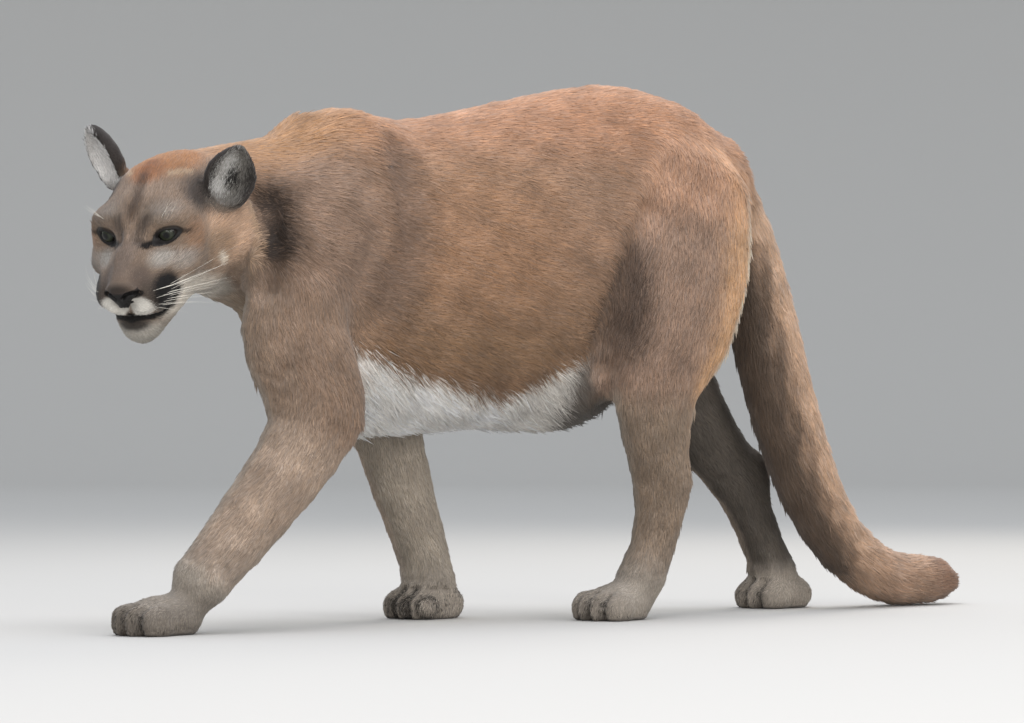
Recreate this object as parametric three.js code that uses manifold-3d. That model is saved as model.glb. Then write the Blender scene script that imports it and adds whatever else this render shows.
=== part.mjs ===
// A life-size cougar (puma) in mid-stride: head low and turned to its left, tail trailing to the floor.
// Millimetres, +Z up. The head end points to -X and the animal's left side to -Y. The floor is z = 0.
// The body is one smooth volume: rounded chains along the skeleton, blended with lumps of muscle. Each
// part is meshed from it and parted from its neighbours along a territory or a plane, with a thin gap.
import * as THREE from "three";
import { mergeVertices } from "three/addons/utils/BufferGeometryUtils.js";
import Module from "manifold-3d";

const wasm = await Module();
wasm.setup();

// Driving dimensions
const WITHERS_HEIGHT = 666;
const RUMP_HEIGHT = 721;
const CHEST_CLEARANCE = 243; // floor to the brisket
const BELLY_CLEARANCE = 250; // floor to the tips of the belly coat
const CHEST_HALF_WIDTH = 122;
const BELLY_HALF_WIDTH = 134;
const TRACK = 88; // paws stand this far from the middle plane
const PAW_LENGTH = 122;
const PAW_HALF_WIDTH = 41;
const TOE_SPACING = 20.5;
const TAIL_RADIUS = 48; // with its coat
const EYE_RADIUS = 16.5;
const EYE_SPACING = 82; // between the two pupils
const EYE_OPENING = { long: 36, high: 19 };
const LID = 2.6; // thickness of the lids over the eyeball
const GAP = 0.3; // left between touching pieces

// Head pose: turned to its left, nose lowered
const HEAD_AT = [-592, -62, 494]; // midway between the eyes
const HEAD_TURN = 36;
const HEAD_DROP = 30;

const radians = THREE.MathUtils.degToRad;
const v3 = (x, y, z) => new THREE.Vector3(x, y, z);

// The frame of a turned part: local x runs forward, y to the animal's left, z up
function frameAt(at, turn, drop = 0) {
  const facing = new THREE.Matrix4().makeRotationZ(Math.PI + radians(turn));
  const pitched = new THREE.Matrix4().makeRotationY(radians(drop));
  return new THREE.Matrix4().makeTranslation(...at).multiply(facing).multiply(pitched);
}
const HEAD = frameAt(HEAD_AT, HEAD_TURN, HEAD_DROP);

// A volume is a function that gives the distance from a point to its surface, negative inside.
// Two of them blend over a given reach.
function smoothMin(a, b, reach) {
  const h = Math.max(reach - Math.abs(a - b), 0) / reach;
  return Math.min(a, b) - h * h * reach * 0.25;
}
const blend = (reach, ...volumes) => (x, y, z) =>
  volumes.reduce((d, f) => smoothMin(d, f(x, y, z), reach), 1e6);

// The same volume in another frame
function moved(matrix, volume) {
  const m = matrix.clone().invert().elements;
  return (x, y, z) =>
    volume(
      m[0] * x + m[4] * y + m[8] * z + m[12],
      m[1] * x + m[5] * y + m[9] * z + m[13],
      m[2] * x + m[6] * y + m[10] * z + m[14],
    );
}

// An ellipsoid
function lump(at, radii) {
  const least = Math.min(...radii);
  return (x, y, z) =>
    (Math.hypot((x - at[0]) / radii[0], (y - at[1]) / radii[1], (z - at[2]) / radii[2]) - 1) * least;
}

// A rod between two stations with an oval section that changes from one to the other. side is the
// half width across the body and deep the half width along the other way.
function rod(a, b) {
  const from = v3(...a.at);
  const axis = v3(...b.at).sub(from);
  const length = axis.length();
  axis.divideScalar(length);
  const side = v3(0, 1, 0).addScaledVector(axis, -axis.y).normalize();
  const deep = v3().crossVectors(axis, side);
  return (x, y, z) => {
    const [dx, dy, dz] = [x - from.x, y - from.y, z - from.z];
    const along = dx * axis.x + dy * axis.y + dz * axis.z;
    const t = Math.min(Math.max(along / length, 0), 1);
    const over = along - t * length;
    const across = dx * side.x + dy * side.y + dz * side.z;
    const up = dx * deep.x + dy * deep.y + dz * deep.z;
    const rs = a.side + (b.side - a.side) * t;
    const rd = a.deep + (b.deep - a.deep) * t;
    const cap = Math.min(rs, rd);
    return (Math.sqrt((across / rs) ** 2 + (up / rd) ** 2 + (over / cap) ** 2) - 1) * cap;
  };
}

// A chain of rods along a smooth curve through a list of stations
function chain(stations, steps = 3) {
  const path = new THREE.CatmullRomCurve3(stations.map((s) => v3(...s.at)), false, "catmullrom", 0.5);
  const girths = stations.map((s) => v3(s.side, s.deep, 0));
  const girth = new THREE.CatmullRomCurve3(girths, false, "catmullrom", 0.5);
  const count = (stations.length - 1) * steps;
  const fine = Array.from({ length: count + 1 }, (_, n) => {
    const size = girth.getPoint(n / count);
    return { at: path.getPoint(n / count).toArray(), side: size.x, deep: size.y };
  });
  const rods = fine.slice(1).map((s, n) => rod(fine[n], s));
  const low = [0, 1, 2].map((i) => Math.min(...fine.map((s) => s.at[i] - Math.max(s.side, s.deep))));
  const high = [0, 1, 2].map((i) => Math.max(...fine.map((s) => s.at[i] + Math.max(s.side, s.deep))));
  return within(low, high, (x, y, z) => rods.reduce((d, r) => Math.min(d, r(x, y, z)), 1e6));
}

// A volume that is only worked out near its own box, which keeps meshing quick
function within(low, high, volume, margin = 60) {
  return (x, y, z) => {
    const dx = Math.max(low[0] - x, 0, x - high[0]);
    const dy = Math.max(low[1] - y, 0, y - high[1]);
    const dz = Math.max(low[2] - z, 0, z - high[2]);
    const away = Math.hypot(dx, dy, dz);
    return away > margin ? away : volume(x, y, z);
  };
}

const station = (x, y, z, side, deep) => ({ at: [x, y, z], side, deep });

// A smooth curve through the values of one dimension at rising places
function curveThrough(places, values) {
  const last = places.length - 1;
  const slopes = values.map((v, n) => {
    const [before, after] = [Math.max(n - 1, 0), Math.min(n + 1, last)];
    return (values[after] - values[before]) / (places[after] - places[before]);
  });
  return (x) => {
    const n = Math.min(Math.max(places.findIndex((p) => p > x) - 1, 0), last - 1);
    if (x >= places[last]) return values[last];
    const span = places[n + 1] - places[n];
    const t = THREE.MathUtils.clamp((x - places[n]) / span, 0, 1);
    const [a, b] = [values[n], values[n + 1]];
    const bend = (slopes[n] * span - (b - a)) * (1 - t) - (slopes[n + 1] * span - (b - a)) * t;
    return a + (b - a) * t + t * (1 - t) * bend;
  };
}

// Trunk, from the chest to the root of the tail, as upright oval sections: the height of the back, the
// height of the underside and the half width at each place along it
const SECTIONS = [
  [-332, WITHERS_HEIGHT - 12, CHEST_CLEARANCE + 48, 84],
  [-275, WITHERS_HEIGHT, CHEST_CLEARANCE + 6, CHEST_HALF_WIDTH - 8],
  [-180, WITHERS_HEIGHT - 4, CHEST_CLEARANCE, CHEST_HALF_WIDTH],
  [-60, RUMP_HEIGHT - 37, BELLY_CLEARANCE + 2, BELLY_HALF_WIDTH],
  [60, RUMP_HEIGHT - 10, BELLY_CLEARANCE, BELLY_HALF_WIDTH - 4],
  [142, RUMP_HEIGHT, BELLY_CLEARANCE + 30, BELLY_HALF_WIDTH - 16],
  [212, RUMP_HEIGHT - 6, 360, 108],
  [275, RUMP_HEIGHT - 23, 430, 88],
  [326, RUMP_HEIGHT - 54, 500, 62],
];
const FRONT_CAP = 46;
const REAR_CAP = 60;
const [backLine, underLine, halfWidth] = [1, 2, 3].map((n) =>
  curveThrough(
    SECTIONS.map((s) => s[0]),
    SECTIONS.map((s) => s[n]),
  ),
);
const trunk = within([-380, -140, 240], [390, 140, 725], (x, y, z) => {
  const [top, bottom, side] = [backLine(x), underLine(x), halfWidth(x)];
  const deep = (top - bottom) / 2;
  const ahead = Math.max(SECTIONS[0][0] - x, 0) / FRONT_CAP;
  const behind = Math.max(x - SECTIONS.at(-1)[0], 0) / REAR_CAP;
  return (Math.hypot(y / side, (z - bottom - deep) / deep, ahead, behind) - 1) * Math.min(side, deep);
});
const chest = lump([-334, 0, 385], [62, 80, 108]);

// Shoulder blade, with the rise that it makes beside the withers
const shoulder = (side, back) =>
  blend(
    30,
    chain([
      station(-262 + back * 0.3, side * 56, 600, 38, 52),
      station(-324 + back * 0.6, side * 84, 530, 46, 74),
      station(-394 + back, side * 102, 440, 44, 74),
    ]),
    lump([-276 + back * 0.3, side * 44, WITHERS_HEIGHT - 50], [62, 32, 42]),
  );

// Each leg is a chain of stations from the trunk to the ankle, a joint that stands out, and a paw
const LEGS = {
  foreleg_left: {
    side: -1,
    flesh: [
      station(-392, -88, 440, 36, 50),
      station(-398, -105, 376, 46, 73),
      station(-372, -116, 300, 48, 68),
      station(-384, -117, 240, 44, 57),
      station(-428, -114, 180, 41, 50),
      station(-478, -109, 120, 38, 44),
      station(-526, -104, 66, 36, 37),
    ],
    joint: [-338, -117, 272, 27],
    paw: { at: [-584, -100], turn: 12, long: 1.06 },
    cuts: { knee: [-384, 246, 0.5], ankle: [-522, 70, 0.75] },
  },
  foreleg_right: {
    side: 1,
    flesh: [
      station(-276, 100, 432, 42, 60),
      station(-236, 104, 380, 48, 72),
      station(-168, 101, 310, 46, 62),
      station(-138, 94, 244, 40, 50),
      station(-116, 88, 172, 36, 44),
      station(-94, 86, 108, 34, 39),
      station(-78, 85, 58, 35, 36),
    ],
    joint: [-122, 101, 300, 28],
    paw: { at: [-84, TRACK - 4], turn: 6, long: 1 },
    cuts: { knee: [-150, 262, 0], ankle: [-80, 62, 0] },
  },
  hindleg_left: {
    side: -1,
    flesh: [
      station(256, -66, 580, 54, 84),
      station(222, -92, 490, 57, 98),
      station(190, -108, 400, 52, 92),
      station(156, -114, 318, 44, 68),
      station(158, -108, 250, 37, 52),
      station(172, -99, 192, 33, 43),
      station(175, -93, 146, 30, 37),
      station(165, -90, 96, 30, 33),
      station(148, -88, 56, 33, 33),
    ],
    joint: [200, -93, 184, 20],
    paw: { at: [104, -TRACK], turn: 14, long: 1 },
    cuts: { knee: [152, 296, 0.1], ankle: [148, 62, 0.25] },
  },
  hindleg_right: {
    side: 1,
    flesh: [
      station(256, 66, 580, 54, 84),
      station(268, 94, 490, 57, 96),
      station(296, 106, 400, 52, 86),
      station(336, 103, 316, 43, 66),
      station(386, 96, 246, 37, 52),
      station(430, 91, 190, 33, 43),
      station(456, 89, 144, 30, 36),
      station(478, 88, 96, 30, 32),
      station(498, 88, 56, 33, 33),
    ],
    joint: [468, 90, 196, 20],
    paw: { at: [502, TRACK], turn: 2, long: 1 },
    cuts: { knee: [336, 310, -0.35], ankle: [496, 62, -0.2] },
  },
};

// A paw with four toes, in its own frame. Its sole reaches below the floor and is cut flat there.
function pawShape(long) {
  const half = (PAW_LENGTH / 2) * long;
  const palm = lump([-half * 0.16, 0, 20], [half * 0.84, PAW_HALF_WIDTH - 3, 30]);
  const toes = [-1.5, -0.5, 0.5, 1.5].map((place) => {
    const reach = Math.abs(place) > 1 ? 0.36 : 0.56;
    return lump([half * reach, place * TOE_SPACING, 17], [26, 12.6, 23]);
  });
  return blend(4, palm, ...toes);
}
const pawFrame = ({ at, turn }) => frameAt([at[0], at[1], 0], turn);

function limb({ flesh, joint, paw }) {
  const bulge = lump(joint.slice(0, 3), [joint[3], joint[3] * 0.9, joint[3] * 1.3]);
  const [px, py] = paw.at;
  const set = moved(pawFrame(paw), pawShape(paw.long));
  const foot = within([px - 80, py - 60, -20], [px + 80, py + 60, 70], set);
  return blend(16, blend(26, chain(flesh), bulge), foot);
}
const limbs = Object.fromEntries(Object.entries(LEGS).map(([name, leg]) => [name, limb(leg)]));

const neck = chain([
  station(-300, 0, 508, 98, 144),
  station(-385, 0, 513, 86, 116),
  station(-440, -2, 517, 79, 102),
  station(-494, -10, 524, 72, 84),
  station(-524, -20, 522, 64, 70),
]);

// Tail: down behind the thigh, then out along the floor
const tail = chain([
  station(322, 2, 604, 42, 40),
  station(363, 3, 560, 45, 45),
  station(393, 3, 482, TAIL_RADIUS, TAIL_RADIUS + 1),
  station(421, 3, 390, TAIL_RADIUS + 1, TAIL_RADIUS + 4),
  station(453, 2, 282, TAIL_RADIUS, TAIL_RADIUS + 3),
  station(499, 4, 174, TAIL_RADIUS - 3, TAIL_RADIUS),
  station(565, 14, 92, TAIL_RADIUS - 6, TAIL_RADIUS - 5),
  station(653, 34, 46, TAIL_RADIUS - 7, TAIL_RADIUS - 7),
  station(730, 48, 37, TAIL_RADIUS - 8, TAIL_RADIUS - 9),
  station(768, 54, 36, TAIL_RADIUS - 12, TAIL_RADIUS - 13),
  station(794, 58, 34, TAIL_RADIUS - 24, TAIL_RADIUS - 25),
]);

// Head, in its own frame: x forward from between the eyes, y to its left, z up
const both = (make) => [make(1), make(-1)];
const headShape = blend(
  14,
  lump([-72, 0, 4], [66, 62, 48]),
  lump([-28, 0, 8], [42, 50, 35]),
  ...both((s) => lump([-48, s * 36, -22], [44, 36, 40])),
  ...both((s) => lump([-24, s * 47, -6], [26, 27, 22])),
  ...both((s) => lump([-98, s * 55, -36], [46, 38, 46])),
  ...both((s) => lump([-20, s * 36, 17], [22, 24, 8])),
  chain([station(-12, 0, 2, 25, 23), station(32, 0, -16, 20, 20), station(64, 0, -31, 18, 14)]),
  ...both((s) => lump([-12, s * 45, -37], [34, 30, 26])),
  ...both((s) => lump([16, s * 24, -38], [34, 24, 25])),
  ...both((s) => lump([44, s * 24, -54], [30, 25, 23])),
  ...both((s) => lump([-4, s * 26, -78], [50, 24, 24])),
  ...both((s) => lump([22, s * 15, -92], [34, 18, 23])),
  ...both((s) => lump([-52, s * 40, -66], [42, 36, 36])),
  lump([46, 0, -99], [24, 24, 27]),
);
const head = within([-730, -210, 320], [-450, 90, 640], moved(HEAD, headShape));

// Nose pad: a broad pad over a narrow strip down to the lip
const noseShape = blend(6, lump([75, 0, -39], [13, 22, 13]), lump([78, 0, -52], [8, 9, 12]));

// Each ear is a cup. Its long axis runs from the notch at its base to its tip, and it is turned on its own.
const EARS = {
  left: { notch: [-72, 81, -3], tip: [-118, 109, 67], faces: [0.85, 0.5, 0.2] },
  right: { notch: [-97, -62, 12], tip: [-108, -90, 107], faces: [0.78, -0.58, 0.2] },
};

// The whole animal
const shoulders = [shoulder(-1, 0), shoulder(1, 118)];
function animal(x, y, z) {
  let d = smoothMin(trunk(x, y, z), chest(x, y, z), 40);
  for (const s of shoulders) d = smoothMin(d, s(x, y, z), 24);
  d = smoothMin(d, neck(x, y, z), 30);
  d = smoothMin(d, tail(x, y, z), 22);
  for (const name of Object.keys(limbs)) d = smoothMin(d, limbs[name](x, y, z), 24);
  return smoothMin(d, head(x, y, z), 26);
}

// Evenly spaced grid lines over one or more stretches, each [from, to, step]
function gridLines(...stretches) {
  const lines = [];
  for (const [from, to, step] of stretches) {
    const count = Math.ceil((to - from) / step);
    for (let n = 0; n < count; n++) lines.push(from + ((to - from) * n) / count);
  }
  lines.push(stretches.at(-1)[1]);
  return lines;
}
const gridBox = (low, high, cell) => low.map((l, n) => gridLines([l, high[n], cell[n]]));

// The twelve edges of a grid cell as pairs of its corners, and the edges around each of its six faces
const CORNERS = [0, 1, 2, 3, 4, 5, 6, 7].map((c) => [c & 1, (c >> 1) & 1, (c >> 2) & 1]);
const EDGES = [1, 2, 4].flatMap((bit) =>
  [0, 1, 2, 3, 4, 5, 6, 7].filter((c) => !(c & bit)).map((c) => [c, c | bit]),
);
const FACES = [0, 1, 2].flatMap((axis) =>
  [0, 1].map((side) => EDGES.map((e, n) => n).filter((n) => EDGES[n].every((c) => CORNERS[c][axis] === side))),
);

// Sorts the crossed edges of a cell into separate sheets of the surface. On a face with two crossings
// they belong together; with four, the two that meet at an inside corner do.
function sheetsOf(inside) {
  const crossed = EDGES.map(([a, b]) => inside[a] !== inside[b]);
  const sheet = EDGES.map((e, n) => n);
  const join = (a, b) => {
    const [from, to] = [sheet[a], sheet[b]];
    sheet.forEach((s, n) => {
      if (s === from) sheet[n] = to;
    });
  };
  for (const face of FACES) {
    const cut = face.filter((n) => crossed[n]);
    if (cut.length === 2) join(cut[0], cut[1]);
    if (cut.length < 4) continue;
    const own = new Set(cut.flatMap((n) => EDGES[n]).filter((c) => inside[c]));
    for (const corner of own) {
      const [one, other] = cut.filter((n) => EDGES[n].includes(corner));
      join(one, other);
    }
  }
  const groups = new Map();
  EDGES.forEach((e, n) => {
    if (crossed[n]) groups.set(sheet[n], [...(groups.get(sheet[n]) ?? []), n]);
  });
  return [...groups.values()];
}

// Meshes the zero level of a volume on a grid. Each sheet of surface in a cell gets one point, pulled
// onto the surface, and each crossed grid edge one face between the four cells around it.
function meshOf(volume, [xs, ys, zs]) {
  const [nx, ny, nz] = [xs.length, ys.length, zs.length];
  const level = new Float32Array(nx * ny * nz);
  const at = (i, j, k) => i + nx * (j + ny * k);
  const rim = (i, j, k) => i === 0 || j === 0 || k === 0 || i === nx - 1 || j === ny - 1 || k === nz - 1;
  for (let k = 0; k < nz; k++)
    for (let j = 0; j < ny; j++)
      for (let i = 0; i < nx; i++) level[at(i, j, k)] = rim(i, j, k) ? 1 : volume(xs[i], ys[j], zs[k]);
  const points = [];
  const owner = new Map();
  for (let k = 0; k < nz - 1; k++)
    for (let j = 0; j < ny - 1; j++)
      for (let i = 0; i < nx - 1; i++) {
        const depth = CORNERS.map(([a, b, c]) => level[at(i + a, j + b, k + c)]);
        const inside = depth.map((d) => d <= 0);
        if (inside.every((v) => v === inside[0])) continue;
        const capped = i === 0 || j === 0 || k === 0 || i === nx - 2 || j === ny - 2 || k === nz - 2;
        for (const sheet of sheetsOf(inside)) {
          const sum = [0, 0, 0];
          for (const n of sheet) {
            const [a, b] = EDGES[n];
            const t = depth[a] / (depth[a] - depth[b]);
            const [ca, cb] = [CORNERS[a], CORNERS[b]];
            sum[0] += THREE.MathUtils.lerp(xs[i + ca[0]], xs[i + cb[0]], t);
            sum[1] += THREE.MathUtils.lerp(ys[j + ca[1]], ys[j + cb[1]], t);
            sum[2] += THREE.MathUtils.lerp(zs[k + ca[2]], zs[k + cb[2]], t);
            owner.set(at(i, j, k) * 12 + n, points.length / 3);
          }
          const point = sum.map((s) => s / sheet.length);
          const room = [xs[i + 1] - xs[i], ys[j + 1] - ys[j], zs[k + 1] - zs[k]];
          points.push(...(capped ? point : ontoSurface(volume, point, room)));
        }
      }
  const faces = [];
  const quad = (loop) => {
    const p = loop.map((n) => v3().fromArray(points, n * 3));
    const [a, b, c, d] = loop;
    if (p[0].distanceTo(p[2]) <= p[1].distanceTo(p[3])) faces.push(a, b, c, a, c, d);
    else faces.push(b, c, d, b, d, a);
  };
  const step = [
    [1, 0, 0],
    [0, 1, 0],
    [0, 0, 1],
  ];
  for (let k = 0; k < nz - 1; k++)
    for (let j = 0; j < ny - 1; j++)
      for (let i = 0; i < nx - 1; i++)
        for (let axis = 0; axis < 3; axis++) {
          const here = level[at(i, j, k)] <= 0;
          const next = level[at(i + step[axis][0], j + step[axis][1], k + step[axis][2])] <= 0;
          if (here === next) continue;
          // The four cells round this grid edge, in turn, each with the edge's own number in that cell
          const [u, v] = [step[(axis + 1) % 3], step[(axis + 2) % 3]];
          const loop = [
            [1, 1],
            [0, 1],
            [0, 0],
            [1, 0],
          ].map(([p, q]) => {
            const corner = [0, 1, 2].map((m) => p * u[m] + q * v[m]);
            const bits = corner[0] + 2 * corner[1] + 4 * corner[2];
            const n = EDGES.findIndex(([a, b]) => a === bits && b === (bits | (1 << axis)));
            return owner.get(at(i - corner[0], j - corner[1], k - corner[2]) * 12 + n);
          });
          quad(here ? loop : loop.reverse());
        }
  return new wasm.Manifold(
    new wasm.Mesh({ numProp: 3, vertProperties: new Float32Array(points), triVerts: new Uint32Array(faces) }),
  );
}

// Moves a point down the slope of the volume until it lies on the surface, within its own cell
function ontoSurface(volume, point, room) {
  const start = [...point];
  const probe = 0.5;
  for (let pass = 0; pass < 3; pass++) {
    const [x, y, z] = point;
    const here = volume(x, y, z);
    const slope = [
      volume(x + probe, y, z) - volume(x - probe, y, z),
      volume(x, y + probe, z) - volume(x, y - probe, z),
      volume(x, y, z + probe) - volume(x, y, z - probe),
    ].map((s) => s / (2 * probe));
    const steep = slope.reduce((s, g) => s + g * g, 0);
    if (steep < 1e-6) break;
    for (let a = 0; a < 3; a++) {
      const moved = point[a] - (here * slope[a]) / steep;
      point[a] = THREE.MathUtils.clamp(moved, start[a] - room[a] * 0.45, start[a] + room[a] * 0.45);
    }
  }
  return point;
}

// A closed three.js geometry as a solid, and back
function solidOf(geometry, matrix) {
  const bare = geometry.clone();
  if (matrix) bare.applyMatrix4(matrix);
  bare.deleteAttribute("normal");
  bare.deleteAttribute("uv");
  const merged = mergeVertices(bare, 1e-3);
  return new wasm.Manifold(
    new wasm.Mesh({
      numProp: 3,
      vertProperties: new Float32Array(merged.attributes.position.array),
      triVerts: new Uint32Array(merged.index.array),
    }),
  );
}
function geometryOf(solid) {
  const mesh = solid.getMesh();
  const geometry = new THREE.BufferGeometry();
  geometry.setAttribute("position", new THREE.BufferAttribute(mesh.vertProperties, 3));
  geometry.setIndex(new THREE.BufferAttribute(mesh.triVerts, 1));
  return geometry;
}

// The same solid with its skin moved outwards by a hair
function grown(solid, by = GAP) {
  const geometry = geometryOf(solid);
  geometry.computeVertexNormals();
  const { position, normal } = geometry.attributes;
  for (let n = 0; n < position.count; n++)
    position.setXYZ(
      n,
      position.getX(n) + normal.getX(n) * by,
      position.getY(n) + normal.getY(n) * by,
      position.getZ(n) + normal.getZ(n) * by,
    );
  return solidOf(geometry);
}

// Half spaces: what is kept lies on the side that the normal points to
const plane = (point, normal) => ({ point: v3(...point), normal: v3(...normal).normalize() });
const flipped = ({ point, normal }) => ({ point, normal: normal.clone().negate() });
const trimmed = (solid, ...planes) =>
  planes.reduce((s, { point, normal }) => s.trimByPlane(normal.toArray(), point.dot(normal) + GAP / 2), solid);

// The largest closed piece of a solid
const largest = (solid) => solid.decompose().sort((a, b) => b.volume() - a.volume())[0];

const group = new THREE.Group();
const finishes = {
  coat: new THREE.MeshStandardMaterial({ color: 0xa67c55, roughness: 0.9, metalness: 0 }),
  eye: new THREE.MeshStandardMaterial({ color: 0x6f6a3c, roughness: 0.15, metalness: 0 }),
  nose: new THREE.MeshStandardMaterial({ color: 0x2a2220, roughness: 0.5, metalness: 0 }),
};
function add(name, solid, finish = finishes.coat) {
  const mesh = new THREE.Mesh(geometryOf(largest(solid)), finish);
  mesh.name = name;
  group.add(mesh);
}

// Where the parts are cut from one another
const floor = plane([0, 0, -GAP / 2], [0, 0, 1]);
const inHead = (x, y, z) => v3(x, y, z).applyMatrix4(HEAD).toArray();
const headward = (x, y, z) => v3(x, y, z).transformDirection(HEAD).toArray();
const headCut = plane(inHead(-122, 0, 0), headward(0.944, 0, 0.33));
const neckCut = plane([-398, -4, 500], [-0.95, -0.08, 0.3]);
const tailCut = plane([365, 3, 560], [0.62, 0, -0.78]);
const tailJoints = [plane([453, 2, 284], [0.36, 0.02, -0.93]), plane([612, 24, 64], [0.85, 0.18, -0.48])];

const LEG_CELL = [22, 20, 40];
const TRUNK_CELL = [50, 32, 32];
const NECK_CELL = [28, 26, 26];
const TAIL_CELL = [28, 22, 40];
const TERRITORY_CELL = [42, 38, 52];
const MARGIN = 20; // by which a territory reaches past its own part

// Every part other than the trunk has a territory, its own volume with a margin. What is not yet taken
// is left to the parts that follow.
const taken = [];
const lessTaken = (solid) => taken.reduce((s, t) => s.subtract(t), solid);
function claim(volume, margin, low, high, ...cuts) {
  const swollen = meshOf((x, y, z) => volume(x, y, z) - margin, gridBox(low, high, TERRITORY_CELL));
  const territory = trimmed(swollen, ...cuts);
  const free = lessTaken(territory);
  taken.push(grown(territory));
  return free;
}

// Tail in three lengths, the last lying on the floor
const tailBox = [
  [300, -90, -50],
  [870, 180, 700],
];
const tailPlace = claim(tail, MARGIN / 2, ...tailBox, tailCut);
const rearEnd = (x, y, z) => smoothMin(trunk(x, y, z), tail(x, y, z), 22);
const tailMesh = meshOf(rearEnd, gridBox(...tailBox, TAIL_CELL)).intersect(tailPlace);
add("tail_base", trimmed(tailMesh, flipped(tailJoints[0])));
add("tail_middle", trimmed(tailMesh, tailJoints[0], flipped(tailJoints[1])));
add("tail_tip", trimmed(tailMesh, tailJoints[1], floor));

// Head, meshed in its own frame with finer cells over the face
const headPlace = claim(head, 1.5 * MARGIN, [-780, -250, 280], [-400, 150, 680], headCut);
const headGrid = [
  gridLines([-180, -60, 20], [-60, 103, 10.3]),
  gridLines([-130, -75, 19], [-75, 75, 10], [75, 130, 19]),
  gridLines([-142, 34, 10.3], [34, 92, 19]),
];
const fromHead = HEAD.clone().invert();
const headMesh = meshOf(moved(fromHead, animal), headGrid).transform(HEAD.toArray()).intersect(headPlace);

// Legs, each in three lengths
for (const [name, { side, flesh, paw, cuts }] of Object.entries(LEGS)) {
  const xs = flesh.map((s) => s.at[0]);
  const low = [Math.min(...xs) - 140, side < 0 ? -210 : -30, -30];
  const high = [Math.max(...xs) + 140, side < 0 ? 30 : 210, 720];
  const own = limbs[name];
  const whole = (x, y, z) => {
    const d = smoothMin(smoothMin(trunk(x, y, z), chest(x, y, z), 40), neck(x, y, z), 30);
    return smoothMin(smoothMin(d, shoulders[side < 0 ? 0 : 1](x, y, z), 24), own(x, y, z), 24);
  };
  const place = claim(own, MARGIN, low, high, plane([0, 0, 0], [0, side, 0]));
  const leg = meshOf(whole, gridBox(low, high, LEG_CELL)).intersect(place);
  const [kx, kz, kneeLean] = cuts.knee;
  const [ax, az, ankleLean] = cuts.ankle;
  const knee = plane([kx, 0, kz], [kneeLean, 0, 1]);
  const ankle = plane([ax, 0, az], [ankleLean, 0, 1]);
  const frame = pawFrame(paw);
  const pawGrid = [
    gridLines([-96, -20, 17], [-20, 100, 13]),
    gridLines([-5.5 * (TOE_SPACING / 2), 5.5 * (TOE_SPACING / 2), TOE_SPACING / 2 + 0.01]),
    gridLines([-15, 55, 12], [55, 109, 20]),
  ];
  const foot = meshOf(moved(frame.clone().invert(), whole), pawGrid).transform(frame.toArray());
  const [upper, lower] = name.startsWith("fore") ? ["upper_arm", "forearm"] : ["thigh", "shank"];
  add(`${name}_${upper}`, trimmed(leg, knee));
  add(`${name}_${lower}`, trimmed(leg, flipped(knee), ankle));
  add(`${name}_paw`, trimmed(foot, flipped(ankle), floor));
}

// Trunk and neck
const bodyGrid = gridBox([-520, -190, 190], [480, 190, 780], TRUNK_CELL);
bodyGrid[0] = gridLines([-520, -340, 46], [-340, -260, 27], [-260, 50, 48], [50, 146, 24], [146, 480, 46]);
const bodyMesh = meshOf(animal, bodyGrid);
add("torso", lessTaken(trimmed(bodyMesh, flipped(neckCut))));
const neckMesh = meshOf(animal, gridBox([-600, -180, 280], [-280, 170, 730], NECK_CELL));
const neckSolid = largest(lessTaken(trimmed(neckMesh, neckCut)));
add("neck", neckSolid);

// A closed round bar along a curve through the given points, each [x, y, z, radius]
function bar(points, sides = 6, steps = 2) {
  const path = new THREE.CatmullRomCurve3(points.map((p) => v3(p[0], p[1], p[2])));
  const count = (points.length - 1) * steps;
  const corner = [];
  for (let n = 0; n <= count; n++) {
    const at = path.getPoint(n / count);
    const ahead = path.getTangent(n / count);
    const side = v3().crossVectors(Math.abs(ahead.z) < 0.9 ? v3(0, 0, 1) : v3(1, 0, 0), ahead).normalize();
    const over = v3().crossVectors(ahead, side);
    const [low, high] = [points[Math.floor(n / steps)], points[Math.ceil(n / steps)]];
    const radius = THREE.MathUtils.lerp(low[3], high[3], (n % steps) / steps);
    for (let k = 0; k < sides; k++) {
      const angle = (2 * Math.PI * k) / sides;
      const [aside, above] = [radius * Math.cos(angle), radius * Math.sin(angle)];
      corner.push(at.clone().addScaledVector(side, aside).addScaledVector(over, above));
    }
  }
  const index = [];
  for (let n = 0; n < count; n++)
    for (let k = 0; k < sides; k++) {
      const [a, b] = [n * sides + k, n * sides + ((k + 1) % sides)];
      index.push(a, b, b + sides, a, b + sides, a + sides);
    }
  for (let k = 1; k < sides - 1; k++) {
    index.push(0, k + 1, k);
    index.push(count * sides, count * sides + k, count * sides + k + 1);
  }
  const geometry = new THREE.BufferGeometry().setFromPoints(corner);
  geometry.setIndex(index);
  return solidOf(geometry, HEAD);
}

// Eyes, and the lids as shells around them with an almond opening, the outer corner raised
function eyeFrame(side) {
  const gaze = v3(1, side * 0.3, 0.1).normalize();
  const across = v3(0, side * Math.cos(radians(14)), Math.sin(radians(14)));
  across.addScaledVector(gaze, -across.dot(gaze)).normalize();
  const up = v3().crossVectors(gaze, across).multiplyScalar(side);
  const at = v3(-9, (side * EYE_SPACING) / 2 - side * 4, 0);
  const turned = new THREE.Matrix4().makeBasis(across.multiplyScalar(side), up, gaze);
  return HEAD.clone().multiply(turned.setPosition(at));
}
function almond(side) {
  const { long, high } = EYE_OPENING;
  const half = (side * long) / 2;
  const shape = new THREE.Shape();
  shape.moveTo(-half, -1);
  shape.quadraticCurveTo(-half * 0.2, high * 0.86, half, 1);
  shape.quadraticCurveTo(-half * 0.04, -high * 1.1, -half, -1);
  return new THREE.ExtrudeGeometry(shape, { depth: 60, bevelEnabled: false, curveSegments: 5 });
}
let skull = headMesh;
const eyes = {};
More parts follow.
